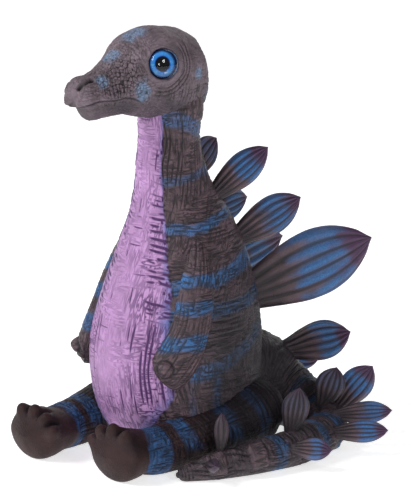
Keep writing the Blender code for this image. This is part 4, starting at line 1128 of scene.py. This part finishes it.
def build_back_plates():
    for number, (name, (h, around, splay, lift, length, width)) in enumerate(BACK_PLATES.items()):
        base = body_surface(np.array(h * BODY_HEIGHT), np.array(math.pi - math.radians(around)))
        build_leaf(name, base, heading_vector(90.0 - splay, lift), heading_vector(-splay, 0.0), length, width,
                   PLATE_THICKNESS, 201 + 10 * number, PLATE_MIST.get(name, 0.9))


def build_tail_plates():
    for number, (name, row) in enumerate(TAIL_PLATES.items()):
        place, turn, heading, lift, length, width, thickness = row
        x, y, z, radius = through(tail_rows(), np.array([place]))[0][:4]
        before, after = through(tail_rows(), np.array([place - 0.01, place + 0.01]))
        run = (after - before)[:3]
        run /= np.linalg.norm(run)
        outward = np.cross((0, 0, 1), run)
        outward /= np.linalg.norm(outward)
        above = np.cross(run, outward)
        turn = math.radians(turn)
        base = np.array((x, y, z)) + radius * (above * math.cos(turn) + outward * math.sin(turn))
        if abs(lift) > UPRIGHT_LIFT:
            face = heading_vector(UPRIGHT_FACE, 0.0)
        else:
            face = heading_vector(heading - 90.0, LEVEL_FACE_LIFT)
        build_leaf(name, base, heading_vector(heading, lift), face, length, width, thickness,
                   301 + 10 * number, PLATE_MIST.get(name, 0.9), fluted="spike" not in name)


# ---------------------------------------------------------------- plug and fillings
def plain_finish(name, code, size, roughness, bump):
    """A finish of one colour that drifts by up to a fifth, with a grain of the size in its bump."""
    material, tree, shader = new_material(name)
    base = linear(code)
    grain = speckle(tree, size)
    skin = add(tree, "ShaderNodeMix", {"data_type": "RGBA", 0: grain, 6: [c * 0.78 for c in base] + [1.0],
                                       7: [min(1, c * 1.15) for c in base] + [1.0]}).outputs[2]
    tree.links.new(skin, shader.inputs["Base Color"])
    gloss = add(tree, "ShaderNodeMapRange",
                {"To Min": roughness, "To Max": roughness + 0.15, "Value": grain})
    tree.links.new(gloss.outputs[0], shader.inputs["Roughness"])
    relief = add(tree, "ShaderNodeBump", {"Strength": 0.6, "Distance": bump, "Height": grain})
    tree.links.new(relief.outputs[0], shader.inputs["Normal"])
    return material


def finish_fillings():
    """The plug, beads and fibre keep their solids and get their real finishes.

    Moulded rubber is dull and nearly black. Glass beads glint from many small round faces.
    Polyester fibre is white and soft, with no shine."""
    finishes = {
        "base_plug": plain_finish("moulded_black_rubber", "#2a2728", 0.6 * MM, 0.62, 0.05 * MM),
        "bead_ballast": plain_finish("glass_bead_ballast", "#b9bcc0", 1.0 * MM, 0.25, 0.5 * MM),
        "fibre_filling": plain_finish("polyester_fibre", "#eceae4", 0.8 * MM, 0.85, 0.4 * MM),
    }
    for node, material in finishes.items():
        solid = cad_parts[node]
        solid.data.materials.clear()
        solid.data.materials.append(material)


# ---------------------------------------------------------------- stage, light and camera
CAMERA_AZIMUTH = math.radians(47.0)
CAMERA_ELEVATION = math.radians(13.0)
CAMERA_DISTANCE = 0.800
CAMERA_TARGET = Vector((0.0, 0.0, 0.070))
CAMERA_LENS = 174.0
CAMERA_SHIFT = (0.057, -0.020)
# Bearing and height in degrees, distance and size in metres, and watts.
LIGHTS = {"key": (-24.0, 40.0, 1.0, 0.50, 7.6), "fill": (60.0, 55.0, 1.2, 0.5, 0.35),
          "rim": (200.0, 45.0, 1.2, 0.6, 1.2)}
# Place of each highlight in the left eye, shares of its radius across and up; size and watts.
CATCH_LIGHTS = {"catch_high": (-0.14, 0.19, 0.18, 1.30), "catch_low": (-0.46, 0.00, 0.08, 0.28)}
CATCH_DISTANCE = 0.8
# The sheet: half its width, how far behind the figure it starts to bend, how far the bend goes
# on, how far the level part comes forward of that, its height, and its drop under the figure.
SWEEP_HALF_WIDTH = 2.2
SWEEP_LEVEL = 1.2
SWEEP_BEND = 1.0
SWEEP_NEAR = 3.0
SWEEP_HEIGHT = 1.6
SWEEP_DROP = 0.0001
PAPER_GLOW = 0.66
ROOM_LIGHT = 0.14


def direction(azimuth, elevation):
    """Unit direction at a bearing from the figure's front towards its left, and a height."""
    return Vector((math.sin(azimuth) * math.cos(elevation), -math.cos(azimuth) * math.cos(elevation),
                   math.sin(elevation)))


def area_light(name, spot, away, distance, size, watts):
    """A square area light at a distance from a spot, aimed back at it."""
    lamp = bpy.data.lights.new(name, "AREA")
    lamp.size = size
    lamp.energy = watts
    obj = bpy.data.objects.new(name, lamp)
    obj.location = spot + away * distance
    obj.rotation_euler = away.to_track_quat("Z", "Y").to_euler()
    bpy.context.scene.collection.objects.link(obj)


def catch_light(name, beside, above, size, watts):
    """A small light placed where the left eye's dome mirrors it to the camera."""
    centre, looks, across, up = eye_frame(1)
    ahead = math.sqrt(1 - beside ** 2 - above ** 2)
    spot = centre + beside * EYE_RADIUS * across + above * EYE_RADIUS * up + EYE_RISE * ahead * looks
    normal = beside / EYE_RADIUS * across + above / EYE_RADIUS * up + ahead / EYE_RISE * looks
    normal /= np.linalg.norm(normal)
    view = np.array(CAMERA_TARGET + direction(CAMERA_AZIMUTH, CAMERA_ELEVATION) * CAMERA_DISTANCE) - spot
    view /= np.linalg.norm(view)
    away = Vector(2 * (view @ normal) * normal - view)
    area_light(name, Vector(spot), away, CATCH_DISTANCE, size, watts)


def build_stage():
    """A pale sheet, level under the figure and curved up behind it, and all the lights."""
    columns, rows = 48, 64
    s = np.linspace(-1.0, 1.0, rows)
    u = np.linspace(-SWEEP_HALF_WIDTH, SWEEP_HALF_WIDTH, columns)
    bend = np.where(s > 0, s, 0.0)
    far = SWEEP_LEVEL + np.where(s > 0, SWEEP_BEND * np.sin(bend * math.pi / 2), SWEEP_NEAR * s)
    tall = SWEEP_HEIGHT * (1 - np.cos(bend * math.pi / 2))
    across, depth = np.meshgrid(u, far)
    height = np.broadcast_to(tall[:, None], across.shape)
    c, n = math.cos(CAMERA_AZIMUTH), math.sin(CAMERA_AZIMUTH)
    points = np.stack([across * c - depth * n, across * n + depth * c, height - SWEEP_DROP], -1)
    index = np.arange(rows * columns).reshape(rows, columns)
    quads = np.stack([index[:-1, :-1], index[:-1, 1:], index[1:, 1:], index[1:, :-1]], -1).reshape(-1, 4)
    mesh = bpy.data.meshes.new("pale_sweep")
    mesh.from_pydata(points.reshape(-1, 3).tolist(), [], quads.tolist())
    mesh.shade_smooth()
    sheet = bpy.data.objects.new("pale_sweep", mesh)
    bpy.context.scene.collection.objects.link(sheet)
    # Lit paper: an even white with no edges, and a soft shadow where the figure stands.
    paper = plain_finish("lit_white_paper", "#fdfdfd", 3.0 * MM, 0.8, 0.02 * MM)
    glow = paper.node_tree.nodes["Principled BSDF"]
    glow.inputs["Emission Color"].default_value = (1.0, 1.0, 1.0, 1.0)
    glow.inputs["Emission Strength"].default_value = PAPER_GLOW
    mesh.materials.append(paper)
    for name, (azimuth, elevation, distance, size, watts) in LIGHTS.items():
        away = direction(math.radians(azimuth), math.radians(elevation))
        area_light(name, CAMERA_TARGET, away, distance, size, watts)
    for name, (beside, above, size, watts) in CATCH_LIGHTS.items():
        catch_light(name, beside, above, size, watts)
    world = bpy.data.worlds.new("pale_room")
    world.use_nodes = True
    world.node_tree.nodes["Background"].inputs["Color"].default_value = (1.0, 1.0, 1.0, 1.0)
    world.node_tree.nodes["Background"].inputs["Strength"].default_value = ROOM_LIGHT
    scene = bpy.context.scene
    scene.world = world
    scene.view_settings.view_transform = "Standard"
    scene.view_settings.look = "None"


def build_camera():
    """The camera looks at its target from in front of the figure's left side, a little above."""
    data = bpy.data.cameras.new("camera")
    data.sensor_width = 36.0
    data.lens = CAMERA_LENS
    data.shift_x, data.shift_y = CAMERA_SHIFT
    data.clip_start = 0.01
    obj = bpy.data.objects.new("camera", data)
    back = direction(CAMERA_AZIMUTH, CAMERA_ELEVATION)
    obj.location = CAMERA_TARGET + back * CAMERA_DISTANCE
    obj.rotation_euler = back.to_track_quat("Z", "Y").to_euler()
    bpy.context.scene.collection.objects.link(obj)
    bpy.context.scene.camera = obj


# ---------------------------------------------------------------- operators and panel
def operator(identifier, label, words, work):
    """An Operator class whose execute does the work."""
    def execute(self, context):
        work()
        return {"FINISHED"}
    return type("STEGOSAURUS_OT_" + identifier, (bpy.types.Operator,), {
        "__doc__": words, "bl_idname": "stegosaurus." + identifier, "bl_label": label,
        "bl_options": {"REGISTER", "UNDO"}, "execute": execute})


def stage_and_camera():
    build_stage()
    build_camera()


OPERATORS = [
    operator("stage", "Stage", "Add the pale sweep, the soft lights and the camera", stage_and_camera),
    operator("body", "Body", "Build the carved body and neck", build_body),
    operator("head", "Head", "Build the head with its brows, lids, nostrils and mouth", build_head),
    operator("eyes", "Eyes", "Build the printed discs and their clear domes", build_eyes),
    operator("arms", "Arms", "Build both arms", build_arms),
    operator("legs", "Legs", "Build both legs and feet", build_legs),
    operator("tail", "Tail", "Build the curled tail", build_tail),
    operator("back_plates", "Back plates", "Build the plates down the back", build_back_plates),
    operator("tail_plates", "Tail plates", "Build the plates and spikes on the tail", build_tail_plates),
    operator("fillings", "Plug and fillings", "Finish the plug, the beads and the fibre", finish_fillings),
]


class STEGOSAURUS_PT_pieces(bpy.types.Panel):
    """Lists the pieces to build and the sizes and colours to change"""
    bl_label = "Stegosaurus"
    bl_idname = "STEGOSAURUS_PT_pieces"
    bl_space_type = "VIEW_3D"
    bl_region_type = "UI"
    bl_category = "Stegosaurus"

    def draw(self, context):
        for kind in OPERATORS:
            self.layout.operator(kind.bl_idname)
        for group in (context.scene.stegosaurus_sizes, context.scene.stegosaurus_colours):
            for key in group.__annotations__:
                self.layout.prop(group, key)


CLASSES = [StegosaurusSizes, StegosaurusColours, *OPERATORS, STEGOSAURUS_PT_pieces]


def register():
    for kind in CLASSES:
        bpy.utils.register_class(kind)
    bpy.types.Scene.stegosaurus_sizes = bpy.props.PointerProperty(type=StegosaurusSizes)
    bpy.types.Scene.stegosaurus_colours = bpy.props.PointerProperty(type=StegosaurusColours)


def unregister():
    del bpy.types.Scene.stegosaurus_colours
    del bpy.types.Scene.stegosaurus_sizes
    for kind in reversed(CLASSES):
        bpy.utils.unregister_class(kind)


def main():
    register()
    for kind in OPERATORS:
        getattr(bpy.ops.stegosaurus, kind.bl_idname.split(".")[1])()
    bpy.context.view_layer.update()


if __name__ == "__main__":
    main()
